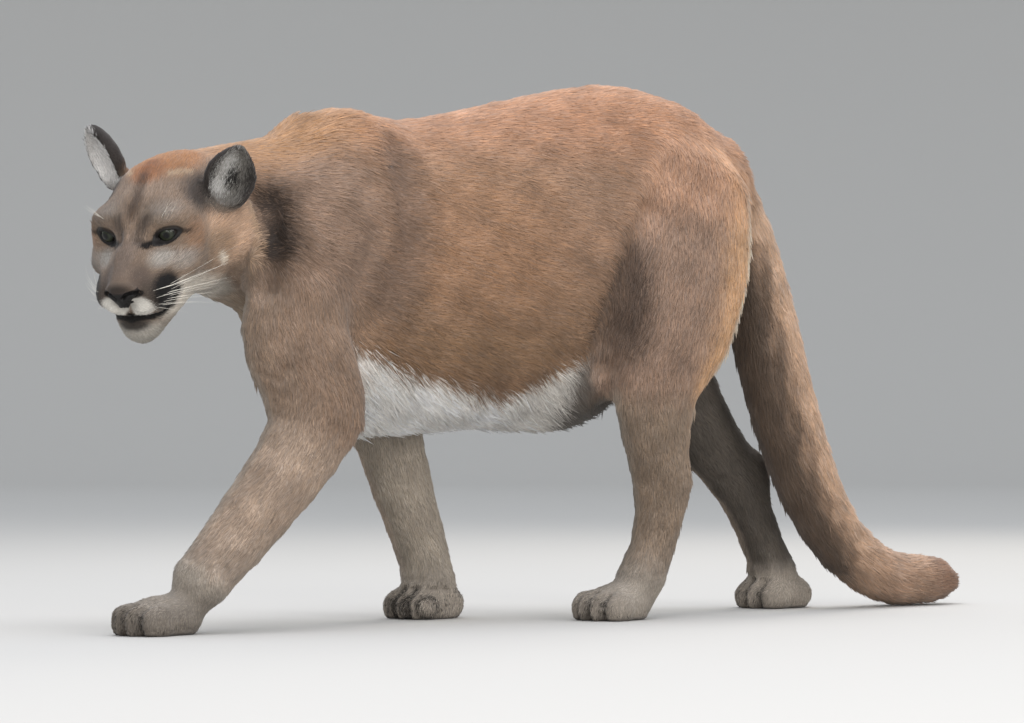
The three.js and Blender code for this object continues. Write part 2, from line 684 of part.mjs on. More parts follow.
for (const [name, side] of [
  ["left", 1],
  ["right", -1],
]) {
  const frame = eyeFrame(side);
  const ball = (radius, wide, high) => solidOf(new THREE.SphereGeometry(radius, wide, high), frame);
  const window = solidOf(almond(side), frame);
  skull = skull.add(ball(EYE_RADIUS + GAP + LID, 14, 10));
  skull = skull.subtract(window).subtract(ball(EYE_RADIUS + GAP, 14, 10));
  eyes[name] = ball(EYE_RADIUS, 14, 10);
}

// Nose pad with its nostrils, and the groove from it down to the lip
const noseGrid = [gridLines([46, 106, 10]), gridLines([-36, 36, 8]), gridLines([-77, -13, 8])];
const nosePad = meshOf(noseShape, noseGrid).transform(HEAD.toArray());
const nostrils = both((s) =>
  bar([
    [89, s * 7, -43, 2.2],
    [87, s * 12, -39, 3.6],
    [79, s * 18, -40, 3],
    [72, s * 23, -44, 1.6],
  ]),
);
const philtrum = bar([
  [86, 0, -36, 1.6],
  [87, 0, -52, 1.8],
  [80, 0, -70, 2],
]);
skull = skull.subtract(grown(nosePad));

// The mouth, a little open in front and closing towards its corners
const mouth = bar([
  [14, -52, -72, 1.6],
  [34, -47, -80, 3],
  [58, -36, -82, 4],
  [74, -18, -77, 4.4],
  [80, 0, -71, 4.4],
  [74, 18, -77, 4.4],
  [58, 36, -82, 4],
  [34, 47, -80, 3],
  [14, 52, -72, 1.6],
]);
skull = largest(skull.subtract(mouth).subtract(philtrum));
add("head", skull);
add("nose", nosePad.subtract(nostrils[0]).subtract(nostrils[1]).subtract(philtrum), finishes.nose);
add("eye_left", eyes.left, finishes.eye);
add("eye_right", eyes.right, finishes.eye);

// Ears: a shell between two egg shapes, narrower towards the tip
const EAR = { wide: 67, thick: 17, wall: 5 };
const underEars = [grown(skull), grown(neckSolid)];
for (const [name, { notch, tip, faces }] of Object.entries(EARS)) {
  const up = v3(...tip).sub(v3(...notch));
  const tall = up.length();
  up.normalize();
  const front = v3(...faces);
  front.addScaledVector(up, -front.dot(up)).normalize();
  const across = v3().crossVectors(front, up);
  const middle = v3(...notch).lerp(v3(...tip), 0.5);
  const frame = HEAD.clone().multiply(new THREE.Matrix4().makeBasis(across, front, up).setPosition(middle));
  const egg = (wide, thick, high, shift, segments) => {
    const geometry = new THREE.SphereGeometry(1, segments, segments - 4).rotateX(Math.PI / 2);
    const { position } = geometry.attributes;
    for (let n = 0; n < position.count; n++) {
      const height = position.getZ(n);
      const narrow = 1 - 0.4 * Math.max(height, 0) ** 2;
      position.setXYZ(n, position.getX(n) * wide * narrow, position.getY(n) * thick + shift, height * high);
    }
    return solidOf(geometry, frame);
  };
  const { wide, thick, wall } = EAR;
  const hollow = egg(wide / 2 - wall, thick, tall / 2 - wall, wall * 1.7, 11);
  const shell = egg(wide / 2, thick, tall / 2 + 2, 0, 13).subtract(hollow);
  add("ear_" + name, underEars.reduce((e, u) => e.subtract(u), shell));
}

// Set down on the floor with the middle of the whole at the origin
const bounds = new THREE.Box3().setFromObject(group);
const middle = bounds.getCenter(v3());
for (const mesh of group.children) mesh.geometry.translate(-middle.x, -middle.y, -bounds.min.z);

export default group;
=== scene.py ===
# %% [markdown]
# # A cougar in mid-stride, life size
#
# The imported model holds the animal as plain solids: trunk, neck, head, ears, eyes, legs and tail. They
# give the true outline and size. Blender adds what a solid cannot show: one skin without seams, folds
# and lids, glassy eyes, and a short, dense coat made of many thousands of small tufts.

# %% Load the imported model
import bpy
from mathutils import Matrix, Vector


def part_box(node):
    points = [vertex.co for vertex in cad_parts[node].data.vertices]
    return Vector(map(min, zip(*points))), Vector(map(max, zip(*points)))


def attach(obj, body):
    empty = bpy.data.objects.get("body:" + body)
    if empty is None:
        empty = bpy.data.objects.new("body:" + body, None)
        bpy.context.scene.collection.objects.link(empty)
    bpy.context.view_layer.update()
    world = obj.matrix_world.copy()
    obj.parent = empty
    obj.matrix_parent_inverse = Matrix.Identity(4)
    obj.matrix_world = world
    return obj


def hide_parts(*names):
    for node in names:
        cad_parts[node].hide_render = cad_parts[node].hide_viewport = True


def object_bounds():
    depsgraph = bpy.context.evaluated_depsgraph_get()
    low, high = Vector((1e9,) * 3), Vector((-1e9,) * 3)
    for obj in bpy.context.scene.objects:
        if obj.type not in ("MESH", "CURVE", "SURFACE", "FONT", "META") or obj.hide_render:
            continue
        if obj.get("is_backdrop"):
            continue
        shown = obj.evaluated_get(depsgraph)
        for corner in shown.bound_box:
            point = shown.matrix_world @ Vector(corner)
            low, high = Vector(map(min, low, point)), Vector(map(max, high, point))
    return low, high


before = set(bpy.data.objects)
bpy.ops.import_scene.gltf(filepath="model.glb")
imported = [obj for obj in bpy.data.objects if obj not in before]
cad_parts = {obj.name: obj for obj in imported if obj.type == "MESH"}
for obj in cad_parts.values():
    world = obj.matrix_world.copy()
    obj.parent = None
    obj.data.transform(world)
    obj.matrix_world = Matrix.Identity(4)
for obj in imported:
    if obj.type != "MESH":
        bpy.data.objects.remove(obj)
cad_box = [list(corner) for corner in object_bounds()]

import math
import time

import bpy
import numpy as np
from mathutils import Matrix, Vector
from mathutils.kdtree import KDTree

STARTED = time.perf_counter()
print(len(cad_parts), "nodes, box", [[round(v, 3) for v in corner] for corner in cad_box])

# %% [markdown]
# ## Small helpers
#
# Colours are written as sRGB hex values, as a paint chart gives them, and turned to linear light once.
# An operator acts on everything that is selected, so each step first clears the selection.

# %% Colour, selection and node helpers
MM = 0.001


def colour(hex_value):
    """An sRGB hex value as linear red, green and blue."""
    channels = [int(hex_value[i:i + 2], 16) / 255 for i in (1, 3, 5)]
    return tuple(c / 12.92 if c <= 0.04045 else ((c + 0.055) / 1.055) ** 2.4 for c in channels)


def rgba(hex_value):
    return (*colour(hex_value), 1.0)


def select_only(*objects):
    bpy.ops.object.select_all(action="DESELECT")
    for piece in objects:
        piece.select_set(True)
    bpy.context.view_layer.objects.active = objects[0]


def add_node(tree, kind, links=(), **settings):
    """One node with its settings; links are (socket here, node or value, its socket)."""
    made = tree.nodes.new(kind)
    for key, value in settings.items():
        setattr(made, key, value)
    for socket, source, *output in links:
        if isinstance(source, bpy.types.Node):
            tree.links.new(source.outputs[output[0] if output else 0], made.inputs[socket])
        else:
            made.inputs[socket].default_value = source
    return made


def new_material(name, base="#808080", rough=0.6):
    """A material with one Principled shader; returns it, its tree and the shader."""
    material = bpy.data.materials.new(name)
    material.use_nodes = True
    shader = material.node_tree.nodes["Principled BSDF"]
    shader.inputs["Base Color"].default_value = rgba(base)
    shader.inputs["Roughness"].default_value = rough
    return material, material.node_tree, shader


def coordinates(piece):
    found = np.empty(len(piece.data.vertices) * 3, np.float32)
    piece.data.vertices.foreach_get("co", found)
    return found.reshape(-1, 3).astype(float)


def normals(piece):
    found = np.empty(len(piece.data.vertices) * 3, np.float32)
    piece.data.vertex_normals.foreach_get("vector", found)
    return found.reshape(-1, 3).astype(float)


def place(piece, points):
    piece.data.vertices.foreach_set("co", np.asarray(points, np.float32).ravel())
    piece.data.update()


def unit(v):
    return v / np.maximum(np.linalg.norm(v, axis=-1, keepdims=True), 1e-12)


def ease(x):
    """0 below 0, 1 above 1, smooth between."""
    x = np.clip(x, 0, 1)
    return x * x * (3 - 2 * x)


def to_line(q, line):
    """How far each place is from a line of points, and which way the nearest piece of it runs."""
    line = np.array(line, float)
    best = np.full(len(q), np.inf)
    way = np.zeros_like(q)
    for a, b in zip(line[:-1], line[1:]):
        t = np.clip(((q - a) @ (b - a)) / ((b - a) @ (b - a)), 0, 1)
        far = np.linalg.norm(q - a - t[:, None] * (b - a), axis=1)
        closer = far < best
        best[closer] = far[closer]
        way[closer] = unit(b - a)
    return best, way


# %% [markdown]
# ## Two frames to measure in
#
# Body places are given as the solids were drawn, in millimetres, with x towards the tail and y to the
# animal's right. The head is turned to its left and dropped, so its features have a frame of their own:
# x runs forward to the nose, y to the animal's left and z up, with the origin midway between the eyes.

# %% The drawing's frame and the head's frame
HEAD_DRAWN = np.array([-592.0, -62.0, 494.0])
HEAD_TURN, HEAD_DROP = math.radians(36), math.radians(30)
HEAD_AXES = np.array(Matrix.Rotation(math.pi + HEAD_TURN, 3, "Z") @ Matrix.Rotation(HEAD_DROP, 3, "Y"))
EYE_RADIUS, EYE_TILT = 16.5, math.radians(14)
EYE_AT = {side: np.array([-9.0, side * 37.0, 0.0]) for side in (1, -1)}
eye_middle = np.mean([list(corner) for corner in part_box("eye_left")], axis=0) / MM
SHIFT = eye_middle - (HEAD_DRAWN + HEAD_AXES @ EYE_AT[1])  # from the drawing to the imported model
SHIFT[2] = 0
HEAD_AT = (HEAD_DRAWN + SHIFT) * MM


def to_drawn(p):
    return np.asarray(p) / MM - SHIFT


def to_head(p):
    """Places in the head's frame, in millimetres."""
    return (np.asarray(p) - HEAD_AT) @ HEAD_AXES / MM


def from_head(q):
    return np.asarray(q) * MM @ HEAD_AXES.T + HEAD_AT


def mirrored(q):
    """The same places, all on the left half, for marks that both halves of the face share."""
    return np.stack([q[:, 0], np.abs(q[:, 1]), q[:, 2]], axis=1)


def eye_axes(side):
    """Across, up and gaze of one eye, as rows, in the head's frame; the outer corner is raised."""
    gaze = unit(np.array([1, side * 0.3, 0.1]))
    across = np.array([0, side * math.cos(EYE_TILT), math.sin(EYE_TILT)])
    across = unit(across - across @ gaze * gaze)
    up = np.cross(gaze, across) * side
    return np.array([across, up, gaze])


print("shift", np.round(SHIFT, 2).tolist(), "mm")

# %% [markdown]
# ## Camera
#
# A long lens far from the animal, a little above the ground and looking slightly up, because the
# photograph shows little perspective and the belly from just below.

# %% Camera at the photograph's view
CAMERA_DRAWN = np.array([-2832.1, -4361.1, 250.0])  # in the drawing's frame
HEADING = math.radians(33)  # turned this far from looking straight across the animal
PITCH = math.radians(1.03)
FOCAL = 3900 / 1024  # the focal length in widths of the picture
cam_data = bpy.data.cameras.new("photo_view")
cam_data.sensor_width = 36
cam_data.lens = 36 * FOCAL
camera = bpy.data.objects.new("photo_view", cam_data)
bpy.context.scene.collection.objects.link(camera)
camera.location = (CAMERA_DRAWN + SHIFT) * MM
camera.rotation_euler = (math.pi / 2 + PITCH, 0, -HEADING)
bpy.context.scene.camera = camera
print("lens", round(cam_data.lens, 1), "mm")

# %% [markdown]
# ## Studio
#
# A wide pale floor that curves up into a wall all round, so no horizon shows from any side. Large soft
# lamps and a bright even sky stand in for the overcast day of the photograph.

# %% Floor that turns up into a wall
FLOOR_RADIUS, WALL_RADIUS, WALL_HEIGHT = 13.0, 17.0, 0.8
SIDES, STEPS = 96, 10
bpy.ops.object.select_all(action="DESELECT")
bpy.ops.mesh.primitive_circle_add(vertices=SIDES, radius=FLOOR_RADIUS, fill_type="NGON", location=(0, 0, 0))
floor = bpy.context.object
floor.name = "studio_floor"
bpy.ops.object.mode_set(mode="EDIT")
bpy.ops.mesh.select_all(action="SELECT")
bpy.ops.mesh.select_mode(type="EDGE")
bpy.ops.mesh.region_to_loop()
angle_before = 0.0
for step in range(1, STEPS + 1):
    angle = math.pi / 2 * step / STEPS
    radius = FLOOR_RADIUS + (WALL_RADIUS - FLOOR_RADIUS) * math.sin(angle)
    was = FLOOR_RADIUS + (WALL_RADIUS - FLOOR_RADIUS) * math.sin(angle_before)
    rise = (WALL_RADIUS - FLOOR_RADIUS) * (math.cos(angle_before) - math.cos(angle))
    bpy.ops.mesh.extrude_region_move(TRANSFORM_OT_translate={"value": (0, 0, rise)})
    bpy.ops.transform.resize(value=(radius / was, radius / was, 1))
    angle_before = angle
bpy.ops.mesh.extrude_region_move(TRANSFORM_OT_translate={"value": (0, 0, WALL_HEIGHT)})
bpy.ops.object.mode_set(mode="OBJECT")
bpy.ops.object.shade_smooth()
floor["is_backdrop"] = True

paper, _, paper_shader = new_material("matt_studio_paper", "#c3c1bd", 0.9)
paper_shader.inputs["Specular IOR Level"].default_value = 0.2
floor.data.materials.append(paper)
print("floor", len(floor.data.polygons), "faces")

# %% Lamps and sky


def softbox(name, location, target, size, power, tint="#ffffff"):
    """A round soft lamp that the camera does not see."""
    data = bpy.data.lights.new(name, "AREA")
    data.shape = "DISK"
    data.size = size
    data.energy = power
    data.color = colour(tint)
    lamp = bpy.data.objects.new(name, data)
    bpy.context.scene.collection.objects.link(lamp)
    lamp.location = location
    lamp.rotation_euler = (Vector(target) - Vector(location)).to_track_quat("-Z", "Y").to_euler()
    lamp.visible_camera = False
    return lamp


softbox("sky_over", (-0.2, -0.3, 4.2), (0, 0, 0.4), 4.0, 120, "#f6f8ff")
softbox("front_left", (-3.6, -4.0, 1.9), (-0.2, 0, 0.35), 2.4, 75, "#fffaf5")
softbox("camera_side", (0.9, -4.6, 1.5), (0.1, 0, 0.3), 2.4, 65, "#fffaf5")
softbox("low_front", (-1.8, -4.4, 0.8), (-0.1, 0, 0.25), 1.6, 34, "#ffffff")
softbox("back_right", (3.2, 1.8, 2.8), (0.1, 0, 0.5), 1.8, 45, "#fff6ea")
world = bpy.data.worlds.new("overcast")
bpy.context.scene.world = world
world.use_nodes = True
world.node_tree.nodes["Background"].inputs["Color"].default_value = rgba("#e4e9f0")
world.node_tree.nodes["Background"].inputs["Strength"].default_value = 1.0
bpy.context.scene.view_settings.view_transform = "Standard"
print("lamps", len(bpy.data.lights))

# %% [markdown]
# ## One skin over all the flesh
#
# The solids meet in thin joints and have flat facets. A cougar has one skin. The flesh nodes are copied,
# joined and swollen a little so that they overlap, remeshed into one closed surface, and smoothed. The
# eyeballs are filled in at this step, so that the lids can be shaped over them afterwards.

# %% Copy, join and remesh the flesh
EYES = ["eye_left", "eye_right"]
FLESH = [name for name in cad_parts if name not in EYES]
VOXEL = 3.2 * MM
SWELL = 0.8 * MM  # closes the narrow gaps between neighbours

label_points, label_names = [], []
copies = []
for name in FLESH + EYES:
    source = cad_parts[name]
    copy = source.copy()
    copy.data = source.data.copy()
    for key in list(copy.keys()):
        del copy[key]
    bpy.context.scene.collection.objects.link(copy)
    copies.append(copy)
    where = coordinates(source)
    label_points.append(where)
    label_names += ["head" if name in EYES else name] * len(where)
label_points = np.vstack(label_points)
label_names = np.array(label_names)

select_only(*copies)
bpy.ops.object.join()
skin = bpy.context.object
skin.name = "skin"
skin.data.materials.clear()
bpy.ops.object.mode_set(mode="EDIT")
bpy.ops.mesh.select_all(action="SELECT")
bpy.ops.mesh.remove_doubles(threshold=0.00001)
bpy.ops.object.mode_set(mode="OBJECT")

swell = skin.modifiers.new("swell", "DISPLACE")
swell.mid_level = 0
swell.strength = SWELL
bpy.ops.object.modifier_apply(modifier=swell.name)
remesh = skin.modifiers.new("remesh", "REMESH")
remesh.mode = "VOXEL"
remesh.voxel_size = VOXEL
bpy.ops.object.modifier_apply(modifier=remesh.name)
print("skin", len(skin.data.polygons), "faces", round(time.perf_counter() - STARTED, 1), "s")

# %% [markdown]
# ## Smooth away the facets
#
# Each vertex moves towards the middle of its neighbours and then a little back out, so that flat facets
# go but thin legs do not shrink. The face, ears and paws are smoothed less, because they have small forms.

# %% Neighbours of each vertex and a smoothing step


def edges_of(piece):
    ends = np.empty(len(piece.data.edges) * 2, np.int32)
    piece.data.edges.foreach_get("vertices", ends)
    return ends.reshape(-1, 2)


def spread(values, ends, count):
    """The mean of each vertex's neighbours; ends holds the two vertices of every edge."""
    source = np.concatenate([ends[:, 1], ends[:, 0]])
    target = np.concatenate([ends[:, 0], ends[:, 1]])
    many = np.maximum(np.bincount(target, minlength=count), 1)
    flat = values.reshape(count, -1)
    mean = np.empty((count, flat.shape[1]))
    for k in range(flat.shape[1]):
        mean[:, k] = np.bincount(target, weights=flat[source, k], minlength=count) / many
    return mean.reshape(values.shape)


tree = KDTree(len(label_points))
for number, point in enumerate(label_points):
    tree.insert(point, number)
tree.balance()


def labels_at(p):
    """The solid nearest to each place."""
    return label_names[np.array([tree.find(spot)[1] for spot in p])]


points = coordinates(skin)
ends = edges_of(skin)
labels = labels_at(points)
FINE = {"head": 0.35, "nose": 0.12, "ear_left": 0.12, "ear_right": 0.12}
BLENDS, ROUNDS, INWARD, BACK = 12, 45, 0.6, 0.56
firmness = np.array([FINE.get(name, 0.4 if name.endswith("paw") else 1.0) for name in labels])
for _ in range(BLENDS):
    firmness = 0.5 * firmness + 0.5 * spread(firmness, ends, len(points))
for _ in range(ROUNDS):
    points += INWARD * firmness[:, None] * (spread(points, ends, len(points)) - points)
    points -= BACK * firmness[:, None] * (spread(points, ends, len(points)) - points)
place(skin, points)
print("smoothed", len(points), "vertices", round(time.perf_counter() - STARTED, 1), "s")

# %% [markdown]
# ## Fewer faces on the body, more on the face
#
# The coat hides the body's skin, so its mesh can be coarse. The head keeps its dense mesh, and the mesh
# is divided again where lids, lips and nostrils need it.

# %% Thin out the body's mesh
KEPT = 0.36  # share of the faces that stays
WEIGHT_STEPS = 10
fine = np.isin(labels, ["head", "nose", "ear_left", "ear_right"])
body_weight = np.where(fine, 0.0, 1.0)
for _ in range(6):
    body_weight = spread(body_weight, ends, len(points))
group = skin.vertex_groups.new(name="body")
for level in range(1, WEIGHT_STEPS + 1):
    chosen = np.nonzero(np.round(body_weight * WEIGHT_STEPS) == level)[0]
    group.add(chosen.tolist(), level / WEIGHT_STEPS, "REPLACE")
thin = skin.modifiers.new("thin", "DECIMATE")
thin.ratio = KEPT
thin.vertex_group = group.name
thin.vertex_group_factor = 6
select_only(skin)
bpy.ops.object.modifier_apply(modifier=thin.name)
skin.vertex_groups.clear()
print("skin", len(skin.data.polygons), "faces", round(time.perf_counter() - STARTED, 1), "s")

# %% A finer mesh on the face


def refine(near, reach):
    """Divides every face whose middle is within reach of one of the points, both in the head's frame."""
    count = len(skin.data.polygons)
    middle = np.empty(count * 3, np.float32)
    skin.data.polygons.foreach_get("center", middle)
    middle = to_head(middle.reshape(-1, 3))
    chosen = np.zeros(count, bool)
    for point, radius in zip(near, reach):
        chosen |= np.linalg.norm(middle - np.array(point), axis=1) < radius
    skin.data.polygons.foreach_set("select", chosen)
    skin.data.edges.foreach_set("select", np.zeros(len(skin.data.edges), bool))
    skin.data.vertices.foreach_set("select", np.zeros(len(skin.data.vertices), bool))
    bpy.ops.object.mode_set(mode="EDIT")
    bpy.ops.mesh.select_mode(type="FACE")
    bpy.ops.mesh.subdivide(number_cuts=1, smoothness=0)
    bpy.ops.mesh.select_all(action="SELECT")
    bpy.ops.mesh.quads_convert_to_tris()
    bpy.ops.object.mode_set(mode="OBJECT")


bpy.context.scene.tool_settings.mesh_select_mode = (False, False, True)
refine([(40, 0, -50), (0, 30, 0), (0, -30, 0)], [75, 46, 46])
refine([EYE_AT[1] + [8, 0, 0], EYE_AT[-1] + [8, 0, 0], (74, 0, -58)], [29, 29, 42])
print("skin", len(skin.data.polygons), "faces", round(time.perf_counter() - STARTED, 1), "s")

# %% [markdown]
# ## Folds of the body and forms of the face
#
# Soft hollows and swellings are pushed into the skin: behind the shoulder, at the flank, between the
# toes, over the eyes, along the bridge and in the whisker pads.

# %% Push along lines and in ovals
points = coordinates(skin)
ends = edges_of(skin)
labels = labels_at(points)


def push(outward, share, amount):
    """Moves the skin in or out along its own normal, in millimetres."""
    return outward * (share * amount)[:, None] * MM


def oval(q, middle, radii):
    """1 in the middle of an oval, falling smoothly to 0 at its edge."""
    return np.clip(1 - np.sum(((q - np.array(middle)) / np.array(radii)) ** 2, axis=1), 0, 1) ** 2


def trough(q, line, width):
    return np.clip(1 - (to_line(q, line)[0] / width) ** 2, 0, 1) ** 2


BODY_LINES = [  # line of points, width, height of the form in mm
    ([(-431, -87, 541), (-436, -104, 508), (-442, -122, 483), (-448, -125, 457),
      (-450, -121, 433)], 27, -10),
    ([(-446, -87, 534), (-447, -91, 519), (-446, -98, 500), (-453, -110, 479),
      (-458, -110, 456)], 13, 4),
    ([(-238, -92, 611), (-223, -108, 546), (-232, -118, 482), (-262, -116, 418),
      (-290, -104, 350)], 34, -6),
    ([(-150, 100, 600), (-118, 110, 540), (-112, 118, 480), (-128, 114, 420), (-140, 104, 360)], 34, -5),
    ([(140, -118, 545), (104, -127, 474), (78, -125, 423), (64, -116, 377), (72, -106, 336)], 24, -7),
    ([(176, 118, 545), (160, 127, 474), (168, 125, 423), (186, 114, 377)], 24, -6),
    ([(-466, -118, 344), (-446, -138, 334), (-424, -150, 330)], 6.5, -2.6),
    ([(-462, -118, 326), (-440, -142, 315), (-420, -152, 312)], 6.5, -2.6),
    ([(-458, -120, 309), (-436, -144, 298), (-416, -153, 296)], 6.5, -2.2),
    ([(-352, -80, 668), (-330, -92, 600), (-336, -110, 540)], 40, 3),
    ([(190, -122, 250), (186, -116, 200), (180, -110, 160)], 13, -3),
    ([(404, 116, 250), (440, 112, 200), (460, 108, 160)], 13, -3),
    ([(-300, 0, 690), (-100, 0, 700), (150, 0, 730), (300, 0, 690)], 14, 1.5),
]
PAWS = {"foreleg_left_paw": (-584, -100, 12, 1.06), "foreleg_right_paw": (-84, 84, 6, 1.0),
        "hindleg_left_paw": (104, -88, 14, 1.0), "hindleg_right_paw": (502, 88, 2, 1.0)}
TOE_SPACING, PAW_HALF, KNUCKLES = 20.5, 61.0, 0.42


def to_paw(d, paw):
    """Places in a paw's frame: x forward to the toes, y across."""
    x, y, turn, _ = PAWS[paw]
    angle = math.pi + math.radians(turn)
    c, s = math.cos(angle), math.sin(angle)
    away = d - np.array([x, y, 0])
    return np.stack([away[:, 0] * c + away[:, 1] * s, away[:, 1] * c - away[:, 0] * s, away[:, 2]], axis=1)


def between_toes(d, width):
    """1 in the three gaps between a paw's toes, from the knuckles to the tips and below their top."""
    share = np.zeros(len(d))
    for paw, (_, _, _, long) in PAWS.items():
        q = to_paw(d, paw)
        front = ease((q[:, 0] - PAW_HALF * long * KNUCKLES) / 14) * (q[:, 2] < 46) * (np.abs(q[:, 1]) < 45)
        for gap in (-1, 0, 1):
            side = np.clip(1 - ((q[:, 1] - gap * TOE_SPACING) / width) ** 2, 0, 1) ** 2
            share = np.maximum(share, side * front)
    return share


# %% Lower the ears and shape the folds and toes
EAR_LOWERED = 0.08  # leaves room for the hair at the tip
EAR_WAYS = {  # notch and the way up from it, in the head's frame
    "ear_left": ((-72, 81, -3), (-46, 28, 70)),
    "ear_right": ((-97, -62, 12), (-11, -28, 95)),
}
in_head = to_head(points)
for ear, (notch, up) in EAR_WAYS.items():
    here = labels == ear
    up = unit(np.array(up, float))
    high = np.maximum((in_head[here] - np.array(notch)) @ up - 8, 0)
    in_head[here] -= high[:, None] * up * EAR_LOWERED
points = from_head(in_head)
place(skin, points)
outward = normals(skin)
drawn = to_drawn(points)
move = np.zeros_like(points)
for line, width, height in BODY_LINES:
    move += push(outward, trough(drawn, line, width), height)
move += push(outward, between_toes(drawn, 8), -6)
points += move
place(skin, points)
print("folds and toes pushed, most", round(float(np.abs(move).max() / MM), 1), "mm")

# %% Forms of the face
FACE_FORMS = [  # middle, radii, height in mm, each on both sides of the face
    ((4, 40, 23), (22, 28, 12), 3.4),     # brow over the eye
    ((26, 13, 6), (16, 7, 16), -2.2),     # beside the root of the nose
    ((46, 11, -8), (30, 9, 12), 2.6),     # edge of the broad bridge
    ((30, 36, -22), (18, 14, 10), -2.2),  # below the inner corner of the eye
    ((6, 58, -26), (26, 16, 15), 2.6),    # cheekbone
    ((54, 34, -58), (26, 16, 20), 3.6),   # whisker pad
    ((71, 19, -65), (16, 15, 13), 4.4),   # lobe of the upper lip
    ((30, 50, -70), (18, 12, 12), -1.6),  # behind the corner of the mouth
    ((66, 8, -104), (16, 16, 14), 1.6),   # chin
    ((-20, 14, 40), (34, 12, 16), 1.2),   # forehead beside the middle furrow
    ((-94, 98, -30), (26, 26, 46), 3.0),  # edge of the cheek
    ((-60, 66, 16), (24, 14, 20), -2.0),  # temple in front of the ear
]
FACE_LINES = {  # points and width of each line of the face, on the left half
    "mouth": ([(75, 0, -80), (71, 14, -82), (59, 27, -84), (49, 36, -85), (42, 43, -81), (34, 48, -76),
               (20, 53, -69)], 4.6),
    "nostril": ([(90, 6, -45), (88, 11, -40), (81, 17, -39), (74, 23, -43)], 3.6),
    "philtrum": ([(84, 0, -61), (78, 0, -68), (74, 0, -76)], 5.0),
    "pad_edge": ([(72, 24, -44), (80, 14, -54), (82, 3, -62)], 2.6),
    "furrow": ([(-40, 2, 50), (-16, 3, 42), (6, 6, 28), (20, 9, 16)], 5.0),
    "frown": ([(2, 18, 24), (16, 15, 14), (28, 14, 4)], 4.0),
    "cheek_crease": ([(28, 22, -6), (20, 34, -16), (10, 48, -20)], 3.5),
}
LINE_DEPTH = {"mouth": 5.2, "nostril": 4.6, "philtrum": 3.6, "pad_edge": 1.6,
              "furrow": 1.2, "frown": 1.3, "cheek_crease": 0.8}
HEAD_REACH = 190  # all of the head lies within this of the middle between the eyes
in_head = to_head(points)
near_head = np.linalg.norm(in_head, axis=1) < HEAD_REACH
outward = normals(skin)
move = np.zeros_like(points)
face = mirrored(in_head)
for middle, radii, height in FACE_FORMS:
    move += push(outward, oval(face, middle, radii), height)
points += move * near_head[:, None]
LOBES_FORWARD = 6.5
lobes = oval(face, (66, 12, -69), (20, 24, 17)) * near_head  # the upper lip comes forward under the nose
points += lobes[:, None] * HEAD_AXES[:, 0] * LOBES_FORWARD * MM
place(skin, points)
print("forms of the face pushed, most", round(float(np.abs(move).max() / MM), 1), "mm")

# %% [markdown]
# ## Lids
#
# Each opening is an almond with a heavy upper lid. The skin inside it goes behind the eyeball's surface,
# and the skin just outside it lies on the eyeball as a lid of even thickness, then joins the face.

# %% Opening of the eye and distance from its edge
CORNER_IN, CORNER_OUT, CORNER_LOW = 17.5, 17.0, -3.0
LID_RISE, LID_DROP = 9.8, 6.0


def lid_edges(u):
    """Height of the upper and the lower lid's edge at each place across the eye."""
    s = np.where(u < 0, u / CORNER_IN, u / CORNER_OUT)
    arch = np.clip(1 - s ** 2, 0, 1)
    return CORNER_LOW + LID_RISE * arch ** 0.62, CORNER_LOW - LID_DROP * arch ** 0.75


def from_lid_edge(u, v):
    """Distance from the edge of the opening, below 0 inside it."""
    across = np.linspace(-CORNER_IN, CORNER_OUT, 49)
    upper, lower = lid_edges(across)
    rim = np.vstack([np.stack([across, upper], 1), np.stack([across, lower], 1)[::-1]])
    far = to_line(np.stack([u, v, np.zeros_like(u)], 1), np.column_stack([rim, np.zeros(len(rim))]))[0]
    top, bottom = lid_edges(np.clip(u, -CORNER_IN, CORNER_OUT))
    inside = (u > -CORNER_IN) & (u < CORNER_OUT) & (v < top) & (v > bottom)
    return np.where(inside, -far, far)


def eye_distance(q):
    """Distance of each place from the nearer eye's lid edge; large away from both."""
    found = np.full(len(q), 99.0)
    for side in (1, -1):
        near = np.nonzero(np.linalg.norm(q - EYE_AT[side], axis=1) < 60)[0]
        local = (q[near] - EYE_AT[side]) @ eye_axes(side).T
        edge = from_lid_edge(local[:, 0], local[:, 1])
        found[near] = np.minimum(found[near], np.where(local[:, 2] > -4, edge, 99.0))
    return found


# %% Shape the lids
LID_RADIUS, POCKET_RADIUS = 18.9, 14.3  # from the middle of the eyeball: over it, and behind its front
EDGE_ROUND, LID_WIDTH = 1.5, 9.0
CREASE_AT, CREASE_WIDTH, CREASE_DEPTH = 6.5, 1.8, 1.3  # the fold above the upper lid
in_head = to_head(points)
for side in (1, -1):
    axes = eye_axes(side)
    local = (in_head - EYE_AT[side]) @ axes.T
    far = np.linalg.norm(local, axis=1)
    close = (far < 46) & (local[:, 2] > -3)
    edge = from_lid_edge(local[close, 0], local[close, 1])
    upper = ease((local[close, 1] + 3) / 6)
    lid = LID_RADIUS + 1.0 * upper - 1.1 * np.clip(1 - edge / EDGE_ROUND, 0, 1) ** 2
    crease = CREASE_DEPTH * upper * np.exp(-((edge - CREASE_AT) / CREASE_WIDTH) ** 2)
    outside = lid + (far[close] - lid) * ease((edge - EDGE_ROUND) / LID_WIDTH) - crease
    radius = np.where(edge < 0, POCKET_RADIUS, outside)
    local[close] = unit(local[close]) * radius[:, None]
    in_head[close] = local[close] @ axes + EYE_AT[side]
points = from_head(in_head)
place(skin, points)

# %% Mouth, nostrils and furrows


def on_skin(line, q):
    """For each point of a line, the number of the nearest place on the skin."""
    return [int(np.argmin(np.linalg.norm(q - np.array(point), axis=1))) for point in line]


